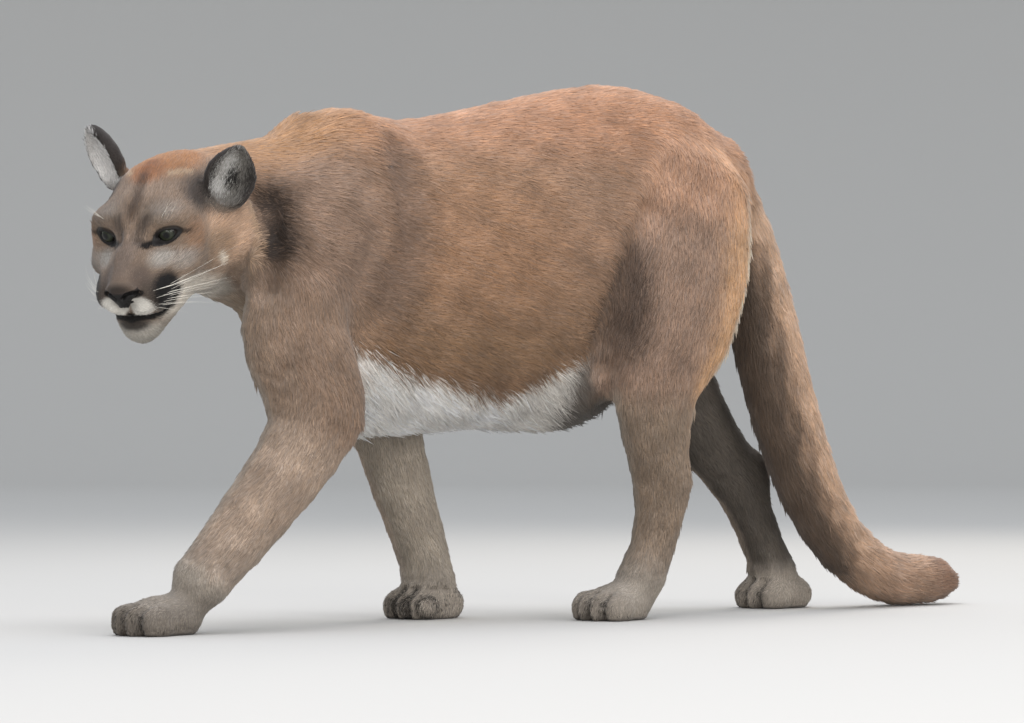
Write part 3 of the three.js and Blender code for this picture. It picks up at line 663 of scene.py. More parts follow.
face = mirrored(to_head(points))
outward = normals(skin)
on_half = (to_head(points)[:, 1] > -1.5) & near_head
half, half_out = to_head(points)[on_half], outward[on_half] @ HEAD_AXES
FACE_ON_SKIN, FACE_IN_GROOVE = {}, {}
for name, (line, _) in FACE_LINES.items():
    picked = on_skin(line, half)
    FACE_ON_SKIN[name] = half[picked]
    FACE_IN_GROOVE[name] = half[picked] - half_out[picked] * LINE_DEPTH[name] * 0.5
move = np.zeros_like(points)
for name, (_, width) in FACE_LINES.items():
    move -= push(outward, trough(face, FACE_ON_SKIN[name], width), LINE_DEPTH[name])
points += move * near_head[:, None]
place(skin, points)
mouth_ends = FACE_ON_SKIN["mouth"][[0, -1]]
print("mouth from and to", np.round(mouth_ends).tolist())

# %% [markdown]
# ## How deep the coat is, and which way it lies
#
# The hair is a few millimetres deep on the face and feet, more on the back, and longest on the belly and
# tail. The skin is moved in by that depth, so that the tips of the hair end where the solids do. Each
# part's hair lies along a line through it, towards the tail or the toes, and the parts are then blended.

# %% Coat depth and lie for each part
COAT = {  # depth, length, width in mm, lift in degrees, tufts per square centimetre
    "head": (2.0, 9.0, 1.15, 12, 92),
    "nose": (1.4, 7.5, 1.1, 10, 110),
    "ear": (0.8, 3.6, 0.9, 10, 120),
    "neck": (4.8, 14.0, 1.25, 10, 46),
    "torso": (5.2, 16.5, 1.4, 10, 36),
    "upper_arm": (4.2, 13.0, 1.25, 10, 42),
    "forearm": (3.6, 12.0, 1.35, 12, 42),
    "thigh": (4.6, 15.0, 1.35, 10, 37),
    "shank": (3.6, 12.5, 1.35, 12, 42),
    "paw": (1.8, 5.5, 1.0, 12, 84),
    "tail": (7.0, 21.0, 1.7, 15, 38),
}
LINES = {
    "torso": [(-420, 0, 470), (-200, 0, 470), (100, 0, 480), (340, 0, 560)],
    "neck": [(-600, -30, 540), (-430, -6, 520), (-320, 0, 480)],
    "foreleg_left": [(-408, -103, 520), (-396, -110, 376), (-372, -116, 300), (-384, -117, 240),
                     (-428, -114, 180), (-478, -109, 120), (-526, -104, 66), (-640, -112, 10)],
    "foreleg_right": [(-276, 100, 520), (-236, 104, 380), (-168, 101, 310), (-138, 94, 244),
                      (-116, 88, 172), (-94, 86, 108), (-80, 85, 58), (-150, 78, 8)],
    "hindleg_left": [(256, -66, 620), (222, -92, 490), (190, -108, 400), (156, -114, 318),
                     (158, -108, 250), (172, -99, 192), (175, -93, 146), (165, -90, 96),
                     (148, -88, 50), (40, -104, 8)],
    "hindleg_right": [(256, 66, 620), (268, 94, 490), (296, 106, 400), (336, 103, 316),
                      (386, 96, 246), (430, 91, 190), (456, 89, 144), (478, 88, 96),
                      (498, 88, 50), (430, 88, 8)],
    "tail": [(322, 2, 620), (363, 3, 560), (393, 3, 482), (421, 3, 390), (453, 2, 282), (499, 4, 174),
             (565, 14, 92), (653, 34, 46), (730, 48, 37), (840, 66, 34)],
}
NOSE_TIP = np.array([90.0, 0, -50])


def region_of(name):
    return next(key for key in COAT if name.startswith(key) or name.endswith(key))


UNDER_NOSE = [(83, 0, -60), (78, 0, -66), (73, 0, -72), (69, 0, -81)]  # bare skin between the lips

EAR_FRAME = {  # notch, tip and the way the cup faces, in the head's frame
    1: (np.array([-72.0, 81, -3]), np.array([-118.0, 109, 67]), unit(np.array([0.85, 0.5, 0.2]))),
    -1: (np.array([-97.0, -62, 12]), np.array([-108.0, -90, 107]), unit(np.array([0.78, -0.58, 0.2]))),
}

points = coordinates(skin)
outward = normals(skin)
drawn = to_drawn(points)
in_head = to_head(points)
coat = np.zeros((len(points), 5))
lie = np.zeros((len(points), 3))
for name in sorted(set(labels.tolist())):
    here = labels == name
    region = region_of(name)
    coat[here] = COAT[region]
    if region in ("head", "nose"):
        lie[here] = unit(in_head[here] - NOSE_TIP + [0, 0, 4]) @ HEAD_AXES.T
    elif region == "ear":
        notch, tip, _ = EAR_FRAME[1 if name.endswith("left") else -1]
        lie[here] = unit(tip - notch) @ HEAD_AXES.T
    else:
        key = next(key for key in LINES if name.startswith(key))
        lie[here] = to_line(drawn[here], LINES[key])[1]
        if region == "paw":
            ahead = math.pi + math.radians(PAWS[name][2])
            above = ease(outward[here, 2] / 0.7)[:, None]
            lie[here] = above * [math.cos(ahead), math.sin(ahead), 0] + (1 - above) * [0, 0, -1]
        if region in ("torso", "neck"):
            lie[here] = unit(lie[here] + [0, 0, -0.30])

# %% [markdown]
# ## Where the coat is longer or shorter
#
# The hair is shortest on the nose bridge, lips and lids. It is longest and loosest along the lower flank
# and belly, behind the elbow, on the back edge of the thigh and on the tail.

# %% Belly line and longer hair
BELLY_AT = [-420, -283, -233, -154, -69, -21, 37, 67, 140]
BELLY_HEIGHT = [372, 356, 332, 314, 297, 318, 346, 366, 400]


def belly_line(x):
    """Height of the border between brown flank and white belly, in the drawing's frame."""
    return np.interp(x, BELLY_AT, BELLY_HEIGHT)


low = ease((belly_line(drawn[:, 0]) + 26 - drawn[:, 2]) / 40) * (labels == "torso")
coat += low[:, None] * [4.5, 13, 0.3, 7, -3]
lie += (low * 0.9)[:, None] * [0.15, 0, -1]
back_of_thigh = np.isin(labels, ["hindleg_left_thigh", "hindleg_right_thigh", "hindleg_left_shank"])
fringe = ease((outward[:, 0] - 0.45) / 0.4) * back_of_thigh * ease((drawn[:, 2] - 230) / 80)
coat += fringe[:, None] * [1.5, 10, 0.1, 8, 0]
tail_end = ease((drawn[:, 0] - 700) / 70) * (labels == "tail_tip")
coat[:, 1] *= 1 - 0.45 * tail_end
elbow = np.maximum(oval(drawn, (-330, -130, 290), (60, 60, 60)),
                   oval(drawn, (-112, 108, 300), (60, 60, 60)))
coat += elbow[:, None] * [1.0, 9, 0, 6, 0]
print("longest hair", round(float(coat[:, 1].max()), 1), "mm")

# %% Shorter hair on the face, and hair in the ears
is_face = np.isin(labels, ["head", "nose"])
from_nose = np.linalg.norm(in_head - NOSE_TIP, axis=1)
short = 1 - 0.72 * (1 - ease((from_nose - 22) / 95))
edge = eye_distance(in_head)
short *= 0.35 + 0.65 * ease((edge - 1) / 16)
ruff = (oval(mirrored(in_head), (-96, 96, -34), (44, 40, 62))
        + oval(mirrored(in_head), (-50, 40, -112), (60, 50, 40)))
coat[is_face, 0] *= short[is_face]
coat[is_face, 1] *= short[is_face]
coat[is_face, 2] *= 0.55 + 0.45 * short[is_face]
coat[is_face, 1] += ruff[is_face]
coat[is_face, 3] -= 5 * np.clip(ruff[is_face], 0, 1)
for side in (1, -1):
    notch, tip, faces = EAR_FRAME[side]
    close_to = np.linalg.norm(in_head - (notch + tip) / 2, axis=1) < 60
    inside_ear = (close_to * ((outward @ HEAD_AXES) @ faces > 0.25)
                  * (labels == ("ear_left" if side == 1 else "ear_right")))
    coat[:, 1] += 2.5 * inside_ear
    coat[:, 3] += 5 * inside_ear
for _ in range(12):
    coat = 0.4 * coat + 0.6 * spread(coat, ends, len(points))
    lie = unit(0.4 * lie + 0.6 * spread(lie, ends, len(points)))
lie = unit(lie - np.sum(lie * outward, axis=1, keepdims=True) * outward)

# %% Bare skin on lids, lips, nose and soles
face = mirrored(in_head)
mouth_far = to_line(face, FACE_IN_GROOVE["mouth"])[0]
nostril_far = to_line(face, FACE_IN_GROOVE["nostril"])[0]
leather_part = (labels == "nose") * ease((-34 - in_head[:, 2]) / 3)
bare = np.maximum.reduce([ease((1.4 - edge) / 0.8), ease((4.2 - mouth_far) / 1.2),
                          ease((3.4 - nostril_far) / 1.0), leather_part,
                          ease((6.0 - to_line(face, UNDER_NOSE)[0]) / 1.8)])
bare *= near_head
on_tail = np.isin(labels, ["tail_middle", "tail_tip"])
sole = (points[:, 2] < 5 * MM) & (outward[:, 2] < -0.4) & ~on_tail
bare = np.maximum(bare, sole)
coat[:, 0] *= 1 - bare
coat[:, 4] *= 1 - bare
print("coat depth", round(coat[:, 0].min(), 1), "to", round(coat[:, 0].max(), 1), "mm")

# %% Move the skin in by the depth of the coat
points -= outward * coat[:, :1] * MM
points[:, 2] = np.maximum(points[:, 2], 0.5 * MM)
place(skin, points)
outward = normals(skin)

# %% [markdown]
# ## Markings
#
# A cougar has no spots, but its coat changes all over: rusty on the nape, sandy on the back and tail,
# greyer on the legs and face, white below. Each mark is a soft-edged oval or a soft line with its own
# colour, laid over the last. Skin and coat read the same marks.
# Some marks are painted shade, each named where it is laid.

# %% Soft marks and the share of each part
PARTS = {
    "head": ["head", "nose"], "ear": ["ear_left", "ear_right"], "trunk": ["torso", "neck"],
    "upper_arm": ["foreleg_left_upper_arm", "foreleg_right_upper_arm"],
    "forearm": ["foreleg_left_forearm", "foreleg_right_forearm"],
    "thigh": ["hindleg_left_thigh", "hindleg_right_thigh"],
    "shank": ["hindleg_left_shank", "hindleg_right_shank"],
    "paw": list(PAWS), "tail": ["tail_base", "tail_middle", "tail_tip"],
}
part_shares = np.stack([np.isin(labels, names).astype(float) for names in PARTS.values()], axis=1)
for _ in range(14):
    part_shares = 0.4 * part_shares + 0.6 * spread(part_shares, ends, len(points))


def round_mark(q, middle, radii, soft=0.5):
    """1 inside an oval and 0 outside, with a soft edge."""
    far = np.linalg.norm((q - np.array(middle)) / np.array(radii), axis=1)
    return ease((1 + soft - far) / (2 * soft))


def line_mark(q, line, width, soft=0.6):
    return ease((1 + soft - to_line(q, line)[0] / width) / (2 * soft))


def lay(base, share, hex_value):
    """Lays a colour over a colour by a share from 0 to 1 at each place."""
    share = np.clip(share, 0, 1)[:, None]
    return base * (1 - share) + share * np.array(colour(hex_value))


def flat(count, hex_value):
    return np.tile(np.array(colour(hex_value)), (count, 1))


BOTH, ONCE = True, False  # on both halves of the animal, or only where it is given


def lay_marks(tone, q, marks):
    """Lays a list of marks: a place makes an oval, and a list of places makes a line."""
    halves = mirrored(q)
    for _, strength, both, where, size, soft, tint in marks:
        mark = line_mark if isinstance(where, list) else round_mark
        tone = lay(tone, strength * mark(halves if both else q, where, size, soft), tint)
    return tone


# %% Colours of the trunk
TRUNK_MARKS = [  # what, strength, where, place or line, radii or width, soft edge, colour
    ("greyer near shoulder", 0.8, ONCE, (-345, -120, 500), (78, 90, 120), 0.5, "#998170"),
    ("greyer far shoulder", 0.6, ONCE, (-220, 110, 480), (78, 90, 120), 0.5, "#a38b7b"),
    ("warm middle of the flank", 0.4, ONCE, (-120, -110, 500), (120, 80, 100), 0.5, "#b08664"),
    ("nape and withers", 0.85, ONCE, (-400, -20, 640), (130, 90, 55), 0.5, "#b58d69"),
]
# Painted shade: darker along the lower flank on both sides, and in the hollow behind the shoulder.
TRUNK_PAINTED_SHADES = [
    ("near low flank", 0.55, ONCE, (-110, -100, 350), (150, 70, 34), 0.5, "#907358"),
    ("far low flank", 0.55, ONCE, (-60, 100, 350), (150, 70, 34), 0.5, "#907358"),
    ("behind the shoulder", 0.7, ONCE, [(-238, -92, 611), (-226, -110, 546), (-234, -118, 482),
                                        (-262, -116, 418)], 28, 0.9, "#6f5d52"),
]
# Painted shade in the fold before the near thigh.
FOLD_PAINTED_SHADE = [
    ("fold before the thigh", 0.9, ONCE, [(96, -118, 470), (78, -118, 423), (62, -112, 377)], 18, 0.6,
     "#42362c"),
]


def trunk_tone(d, n):
    x, y, z = d.T
    tone = flat(len(d), "#957860")
    tone = lay(tone, ease((z - 380) / 130), "#a5866f")
    tone = lay(tone, ease((z - 575) / 95), "#bb8f72")  # the back
    tone = lay_marks(tone, d, TRUNK_MARKS)
    tone = lay(tone, 0.6 * ease((-x - 330) / 60) * ease((0.1 - n[:, 2]) / 0.5), "#b5a897")  # pale chest
    # Painted shade on the lower flank and behind the shoulder.
    tone = lay_marks(tone, d, TRUNK_PAINTED_SHADES)
    white = ease((belly_line(x) + 5 - z) / 14) * ease((x + 345) / 50)
    tone = lay(tone, white, "#fffbf5")
    tone = lay(tone, 0.35 * white * ease((x + 60) / 60), "#c2baae")
    tone = lay(tone, 0.9 * white * ease((x - 12) / 40), "#5f574f")  # shaded groin
    # Painted shade in the fold before the thigh.
    return lay_marks(tone, d, FOLD_PAINTED_SHADE)


# %% Colours of the legs and tail
def leg_tone(d, n, part):
    x, y, z = d.T
    inner = ease(0.5 + 0.9 * n[:, 1] * -np.sign(y))
    far = ease(y / 30)
    if part == "upper_arm":
        tone = flat(len(d), "#927b69")
        tone = lay(tone, 0.5 * ease((-n[:, 0] - 0.2) / 0.6), "#a18d7b")
        tone = lay(tone, 0.5 * ease((300 - z) / 90), "#957f6d")
        tone = lay(tone, 0.55 * ease((z - 400) / 60), "#998273")
    elif part == "forearm":
        tone = flat(len(d), "#b49f8d")
        tone = lay(tone, 0.45 * ease((n[:, 0] - 0.1) / 0.7), "#917f70")
        tone = lay(tone, 0.4 * ease((150 - z) / 80), "#aba095")
    elif part == "thigh":
        tone = flat(len(d), "#9c8270")
        # Painted shade in the fold at the front of the thigh.
        tone = lay(tone, 0.85 * round_mark(d, (104, -114, 438), (34, 60, 92)), "#46382f")
        rear = ease((x - np.where(y < 0, 170, 240)) / 50)
        tone = lay(tone, rear * ease((n[:, 0] - 0.05) / 0.5), "#d9ad85")
        tone = lay(tone, rear * ease((n[:, 0] - 0.66) / 0.24) * ease((z - 250) / 60), "#f0e2ca")
        tone = lay(tone, 0.6 * ease((z - 500) / 90), "#c4987a")
    else:
        tone = flat(len(d), "#92806f")
        tone = lay(tone, 0.5 * ease((130 - z) / 80), "#a59a8e")
        tone = lay(tone, 0.4 * ease((n[:, 0] - 0.3) / 0.5) * ease((z - 150) / 80), "#bd9a78")
    tone = lay(tone, 0.6 * inner, "#a9a094")
    # Painted shade on the inner side of the far hind leg; the far foreleg's inner side is made greyer.
    far *= ease((0.25 - n[:, 1]) / 0.5)
    if part in ("thigh", "shank"):
        return lay(tone, 0.85 * far, "#4b453f")
    return lay(tone, 0.55 * far, "#a09789")


def paw_tone(d):
    tone = flat(len(d), "#aaa094")
    for paw in PAWS:
        q = to_paw(d, paw)
        near = np.linalg.norm(q, axis=1) < 95
        tone = lay(tone, 0.65 * near * ease((q[:, 0] - 34) / 26), "#8a8177")
        # Painted shade on the lower part of the near fore paw.
        if paw == "foreleg_left_paw":
            tone = lay(tone, 0.5 * near * ease((62 - d[:, 2]) / 40), "#5f574f")
    # Painted shade in the gaps between the toes.
    tone = lay(tone, between_toes(d, 6.5), "#1f1b18")
    return lay(tone, ease((9 - d[:, 2]) / 8), "#4a443e")


def tail_tone(d, n):
    x, y, z = d.T
    tone = flat(len(d), "#d2b095")
    # Painted shade on the side of the tail that faces forward and down, except near the tip.
    under = ease(0.45 - 0.85 * n[:, 0] - 0.25 * n[:, 2])
    tone = lay(tone, 0.88 * under * ease((600 - x) / 60), "#4e443c")
    tone = lay(tone, 0.6 * ease((x - 540) / 120), "#a88b77")
    tone = lay(tone, 0.65 * ease((x - 700) / 60), "#805f4c")
    return tone


# %% Colours of the head
HEAD_MARKS = [  # what, strength, where, place or line, radii or width, soft edge, colour
    ("rusty crown", 1.0, ONCE, (-108, 0, 56), (56, 58, 27), 0.35, "#ad7d57"),
    ("front of the crown", 1.0, ONCE, (-62, -2, 56), (26, 22, 14), 0.5, "#9a6a48"),
    ("pale line to the ear", 0.55, BOTH, [(-62, 28, 51), (-80, 48, 45)], 5, 0.6, "#c8b294"),
    ("cheek", 0.9, BOTH, (-70, 90, -26), (40, 26, 40), 0.5, "#cba98e"),
    ("behind the eye", 0.7, BOTH, (-12, 72, -10), (20, 14, 18), 0.5, "#a88469"),
    ("dark temple", 0.9, BOTH, (-60, 66, 25), (27, 24, 24), 0.55, "#3c3633"),
    ("brow", 0.6, BOTH, (0, 40, 28), (24, 24, 9), 0.7, "#878078"),
    ("top of the stripe", 0.75, ONCE, [(-80, -5, 57), (-50, -3, 53)], 9, 0.9, "#7d5236"),
    ("forehead stripe", 0.75, ONCE, [(-50, -3, 53), (-18, 0, 43), (8, -1, 28)], 7, 0.9, "#46362b"),
    ("frown", 0.8, BOTH, [(10, 18, 20), (22, 13, 10), (30, 11, 0)], 7, 0.8, "#4b423c"),
    ("bridge", 0.75, BOTH, (54, 0, -10), (38, 17, 20), 0.6, "#7b6c62"),
    ("side of the bridge", 0.75, BOTH, (60, 20, -32), (22, 12, 16), 0.6, "#5d5049"),
    ("pale below the eye", 0.9, BOTH, (26, 38, -20), (17, 17, 9), 0.7, "#b0aaa2"),
    ("cheekbone", 0.7, BOTH, (12, 60, -31), (20, 14, 10), 0.7, "#a59e97"),
    ("lower cheek", 0.75, BOTH, (-50, 76, -44), (26, 20, 20), 0.5, "#9b836d"),
    ("pale jaw", 0.95, BOTH, [(30, 44, -80), (0, 50, -84), (-40, 46, -102), (-90, 40, -116)], 26, 0.45,
     "#d6cec2"),
    ("cheek spot", 0.75, BOTH, (-48, 80, -61), (6, 8, 9), 0.7, "#e6ddce"),
    ("whisker pad", 0.9, BOTH, (58, 33, -54), (22, 17, 21), 0.45, "#4a423c"),
    ("black patch", 1.0, BOTH, (46, 45, -58), (25, 21, 27), 0.25, "#0d0b0a"),
    ("white lip", 1.0, BOTH, (70, 17.5, -64), (24, 17.5, 15.5), 0.2, "#f2ede3"),
    ("top of the nose", 0.9, BOTH, (84, 0, -35), (16, 17, 8), 0.5, "#2b2420"),
    ("chin", 1.0, BOTH, (60, 10, -105), (24, 28, 16), 0.4, "#b9b3a9"),
    ("lower lip", 0.9, BOTH, (70, 4, -90), (15, 20, 7), 0.5, "#28221f"),
    ("groove under the nose", 1.0, BOTH, UNDER_NOSE, 6.6, 0.25, "#0f0c0b"),
    ("edge of the pad", 1.0, BOTH, list(FACE_IN_GROOVE["pad_edge"]), 3.2, 0.5, "#14100e"),
    ("mouth", 1.0, BOTH, list(FACE_IN_GROOVE["mouth"]), 5.4, 0.3, "#0c0a09"),
]
EYE_MARKS = [
    ("inner corner", 1.0, BOTH, [(4, 30, -5), (16, 25, -5), (28, 18, -3)], 4.4, 0.5, "#15110f"),
    ("outer corner", 0.8, BOTH, [(-3, 57, 3), (-8, 65, -1)], 3.4, 0.6, "#30261f"),
]


def head_tone(q):
    tone = lay_marks(flat(len(q), "#8f7b6a"), q, HEAD_MARKS)
    rim = 2.2 + 2.0 * ease((q[:, 2] + 3) / 8)  # the dark edge of the lids, wider above
    tone = lay(tone, 0.9 * ease((rim + 1 - eye_distance(q)) / 2), "#171311")
    return lay_marks(tone, q, EYE_MARKS)


# %% Colours of the ears
def cup_of(q, n, side):
    """1 on the hollow side of an ear: where the surface faces the middle of the cup."""
    notch, tip, faces = EAR_FRAME[side]
    middle = [notch + faces * 15, tip + faces * 9]
    t = np.clip(((q - middle[0]) @ (middle[1] - middle[0])) / np.sum((middle[1] - middle[0]) ** 2), 0, 1)
    toward = unit(middle[0] + t[:, None] * (middle[1] - middle[0]) - q)
    near = np.linalg.norm(q - (notch + tip) / 2, axis=1) < 75
    return near * ease((np.sum((n @ HEAD_AXES) * toward, axis=1) + 0.05) / 0.35)


def ear_tone(q, n):
    tone = flat(len(q), "#38322f")
    for side in (1, -1):
        notch, tip, faces = EAR_FRAME[side]
        up = unit(tip - notch)
        across = unit(np.cross(up, faces))
        away = q - (notch + tip) / 2
        flat_place = np.stack([away @ across, away @ up, np.zeros(len(q))], axis=1)
        cup = cup_of(q, n, side)
        # The near ear's cup is painted in shade, grey with pale tufts and a painted shadow deep inside; the
        # far ear's cup is white.
        tone = lay(tone, cup, "#75716b" if side == 1 else "#ece9e6")
        if side == 1:
            tone = lay(tone, cup * round_mark(flat_place, (-7, 12, 0), (10, 15, 1), 0.5), "#b3b1ad")
            tone = lay(tone, cup * round_mark(flat_place, (-11, -18, 0), (12, 13, 1), 0.5), "#bcbab6")
            tone = lay(tone, cup * ease((np.abs(flat_place[:, 0] + 1) - 17) / 6), "#36312e")
            # Painted shadow deep in the near ear's cup.
            tone = lay(tone, cup * round_mark(flat_place, (5, -5, 0), (9, 13, 1), 0.5), "#14110f")
        near = np.linalg.norm(away, axis=1) < 75
        tone = lay(tone, near * 0.6 * ease((-(away @ up) - 30) / 16), "#6f655c")
    return tone


# %% All markings together
def markings(p, n, shares):
    """The coat's colour at each place, painted shade included, from where it is, which way it faces and
    which part it is on.
    """
    d, q = to_drawn(p), to_head(p)
    tones = {"head": head_tone(q), "ear": ear_tone(q, n), "trunk": trunk_tone(d, n), "paw": paw_tone(d),
             "tail": tail_tone(d, n)}
    for part in ("upper_arm", "forearm", "thigh", "shank"):
        tones[part] = leg_tone(d, n, part)
    total = np.maximum(shares.sum(axis=1, keepdims=True), 1e-6)
    tone = sum(tones[part] * shares[:, k:k + 1] for k, part in enumerate(PARTS)) / total
    off_ear = 1 - shares[:, [list(PARTS).index("ear")]].sum(axis=1)
    # Painted shadow on the side of the neck under the cheek, laid on the trunk only.
    shade = [(-424, -87, 541), (-429, -106, 508), (-434, -124, 483), (-441, -127, 457), (-447, -121, 433)]
    on_trunk = shares[:, list(PARTS).index("trunk")]
    tone = lay(tone, 0.95 * on_trunk * line_mark(d, shade, 31, 0.8), "#1f1814")
    # Weaker painted shade where that shadow runs down the throat.
    throat = [(-452, -112, 415), (-462, -100, 385)]
    tone = lay(tone, 0.6 * on_trunk * line_mark(d, throat, 30, 0.9), "#54473d")
    edge_line = [(-96, 112, 4), (-106, 106, -16), (-99, 108, -30), (-89, 114, -45), (-70, 119, -57),
                 (-55, 117, -72)]
    tone = lay(tone, 0.55 * off_ear * line_mark(q, edge_line, 6.5, 0.7), "#c8ab8e")
    far_edge = [(x, -y + 6, z) for x, y, z in edge_line]
    return lay(tone, 0.5 * off_ear * line_mark(q, far_edge, 8, 0.6), "#c8ab8e")


print("markings ready", round(time.perf_counter() - STARTED, 1), "s")

# %% [markdown]
# ## Eyes
#
# Each eyeball has a slightly raised cornea. The grey-green iris has a darker edge and a small round pupil.

# %% Eyeballs
CORNEA_RADIUS, CORNEA_RISE, IRIS_EDGE = 9.5, 1.1, 12.0


def make_eye(side):
    name = "eye_left" if side == 1 else "eye_right"
    bpy.ops.object.select_all(action="DESELECT")
    bpy.ops.mesh.primitive_uv_sphere_add(segments=64, ring_count=48, radius=(EYE_RADIUS - 0.15) * MM)
    ball = bpy.context.object
    ball.name = name.replace("eye", "eyeball")
    axes = eye_axes(side)
    turned = np.array([axes[0], np.cross(axes[2], axes[0]), axes[2]])
    local = coordinates(ball) / MM
    out = np.hypot(local[:, 0], local[:, 1])
    dome = ease((CORNEA_RADIUS - out) / 5.0) * (local[:, 2] > 0)
    local[:, 2] += CORNEA_RISE * dome
    place(ball, from_head(local @ turned + EYE_AT[side]))
    bpy.ops.object.shade_smooth()
    radius = ball.data.attributes.new("from_pupil", "FLOAT", "POINT")
    radius.data.foreach_set("value", np.where(local[:, 2] > 0, out, 20.0).astype(np.float32))
    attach(ball, "root")
    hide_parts(name)
    return ball


eyes = [make_eye(1), make_eye(-1)]
cornea, cornea_tree, wet = new_material("wet_cornea_and_iris", rough=0.22)
wet.inputs["Coat Weight"].default_value = 0.3
wet.inputs["Specular IOR Level"].default_value = 0.12
wet.inputs["Coat Roughness"].default_value = 0.03
radius_node = add_node(cornea_tree, "ShaderNodeAttribute", attribute_name="from_pupil")
scaled = add_node(cornea_tree, "ShaderNodeMath", [(0, radius_node, "Fac"), (1, 1 / IRIS_EDGE)],
                  operation="MULTIPLY")
ramp = add_node(cornea_tree, "ShaderNodeValToRGB", [("Fac", scaled)])
bands = ramp.color_ramp.elements
bands[0].position, bands[0].color = 0.0, rgba("#050505")
bands[1].position, bands[1].color = 1.0, rgba("#241c17")
IRIS = [(0.27, "#050505"), (0.31, "#181a13"), (0.5, "#31352a"), (0.7, "#23261d"), (0.8, "#0a0908")]
for at, tint in IRIS:  # share of the way out, from the pupil's edge to the iris's dark edge
    band = bands.new(at)
    band.color = rgba(tint)
cornea_tree.links.new(ramp.outputs["Color"], wet.inputs["Base Color"])
for ball in eyes:
    ball.data.materials.append(cornea)
print("eyes", len(eyes[0].data.polygons), "faces each")

# %% [markdown]
# ## The coat
#
# Roots are spread over the skin by area and by each part's density. A tuft is a thin blade of three
# triangles: two corners at the root, a raised middle and a tip. Each tuft has a small patch on the
# skin's own unwrap, so that its colour can be baked where it grows.

# %% Unwrap the skin
select_only(skin)
bpy.ops.object.mode_set(mode="EDIT")
bpy.ops.mesh.select_all(action="SELECT")
bpy.ops.uv.smart_project(angle_limit=math.radians(66), island_margin=0.002)
bpy.ops.object.mode_set(mode="OBJECT")
print("unwrapped", round(time.perf_counter() - STARTED, 1), "s")

# %% Tuft roots
TUFTS = 450000
rng = np.random.default_rng(61)
mesh = skin.data
mesh.calc_loop_triangles()
triangle_count = len(mesh.loop_triangles)
corners = np.empty(triangle_count * 3, np.int32)
mesh.loop_triangles.foreach_get("vertices", corners)
corners = corners.reshape(-1, 3)
loops = np.empty(triangle_count * 3, np.int32)
mesh.loop_triangles.foreach_get("loops", loops)
loops = loops.reshape(-1, 3)
skin_uv = np.empty(len(mesh.loops) * 2, np.float32)
mesh.uv_layers[0].data.foreach_get("uv", skin_uv)
skin_uv = skin_uv.reshape(-1, 2)
a, b, c = (points[corners[:, k]] for k in range(3))
area = np.linalg.norm(np.cross(b - a, c - a), axis=1) / 2
wanted = area * 1e4 * np.min(coat[corners, 4], axis=1)
wanted *= TUFTS / wanted.sum()
number = np.floor(wanted + rng.random(triangle_count)).astype(int)
of_triangle = np.repeat(np.arange(triangle_count), number)
total = len(of_triangle)
u, v = rng.random(total), rng.random(total)
over = u + v > 1
u[over], v[over] = 1 - u[over], 1 - v[over]
share = np.stack([1 - u - v, u, v], axis=1)[:, :, None]


def at_roots(values):
    return np.sum(values[corners[of_triangle]] * share, axis=1)


root = at_roots(points)
root_normal = unit(at_roots(outward))
root_lie = at_roots(lie)
root_coat = at_roots(coat)
root_shares = at_roots(part_shares)
root_uv = np.sum(skin_uv[loops[of_triangle]] * share, axis=1)
print("skin area", round(area.sum(), 2), "m2, tufts", total, round(time.perf_counter() - STARTED, 1), "s")

# %% Tuft shapes
BEND_AT, ROOT_DEPTH = 0.45, 0.4  # share of the length, and mm below the skin
lie_t = unit(root_lie - np.sum(root_lie * root_normal, axis=1, keepdims=True) * root_normal)
sideways = np.cross(root_normal, lie_t)
wave = (np.sin(root @ [61, 83, 47] + 2.1) + np.sin(root @ [-97, 41, 71])
        + np.sin(root @ [33, -59, 103] + 0.7))  # neighbours lean and shade alike, in locks
lie_t = unit(lie_t + sideways * (rng.normal(0, 0.13, total) + 0.07 * wave)[:, None])
sideways = np.cross(root_normal, lie_t)
sideways = unit(sideways + root_normal * rng.normal(0, 0.35, total)[:, None])
lift = np.radians(root_coat[:, 3] * np.clip(rng.normal(1, 0.25, total), 0.3, 1.9))[:, None]
length = (root_coat[:, 1] * np.clip(rng.normal(1, 0.2, total), 0.5, 1.6))[:, None] * MM
width = (root_coat[:, 2] * np.clip(rng.normal(1, 0.2, total), 0.5, 1.6))[:, None] * MM
heading = lie_t * np.cos(lift) + root_normal * np.sin(lift)
base = root - root_normal * ROOT_DEPTH * MM
tuft_points = np.empty((total, 4, 3))
tuft_points[:, 0] = base - sideways * width / 2
tuft_points[:, 1] = base + sideways * width / 2
tuft_points[:, 2] = base + heading * length * BEND_AT + root_normal * width * 0.28
tuft_points[:, 3] = base + heading * length - root_normal * length * np.sin(lift) * 0.35
tuft_points[:, :, 2] = np.maximum(tuft_points[:, :, 2], 0.4 * MM)
tuft_normals = np.empty_like(tuft_points)  # leaning towards the skin's own, so the coat looks soft
tuft_normals[:, 0] = unit(root_normal - 0.45 * sideways)
tuft_normals[:, 1] = unit(root_normal + 0.45 * sideways)
tuft_normals[:, 2] = unit(root_normal + 0.10 * lie_t)
tuft_normals[:, 3] = unit(root_normal + 0.25 * lie_t)
TUFT_FACES = np.array([[0, 2, 1], [0, 3, 2], [1, 2, 3]])

# %% Colour of each tuft
on_face = root_shares[:, 0] > 0.5
stray = np.where(on_face, 1.0, 5.0) * MM
tone = markings(root + rng.normal(0, 1, (total, 3)) * stray[:, None], root_normal, root_shares)
tone *= np.exp(rng.normal(0, 0.13, total) + 0.05 * wave)[:, None]
grey = tone.mean(axis=1, keepdims=True)
tone += (grey - tone) * np.clip(rng.normal(0.0, 0.10, total), -0.2, 0.3)[:, None]
tone = np.clip(tone, 0, 1)

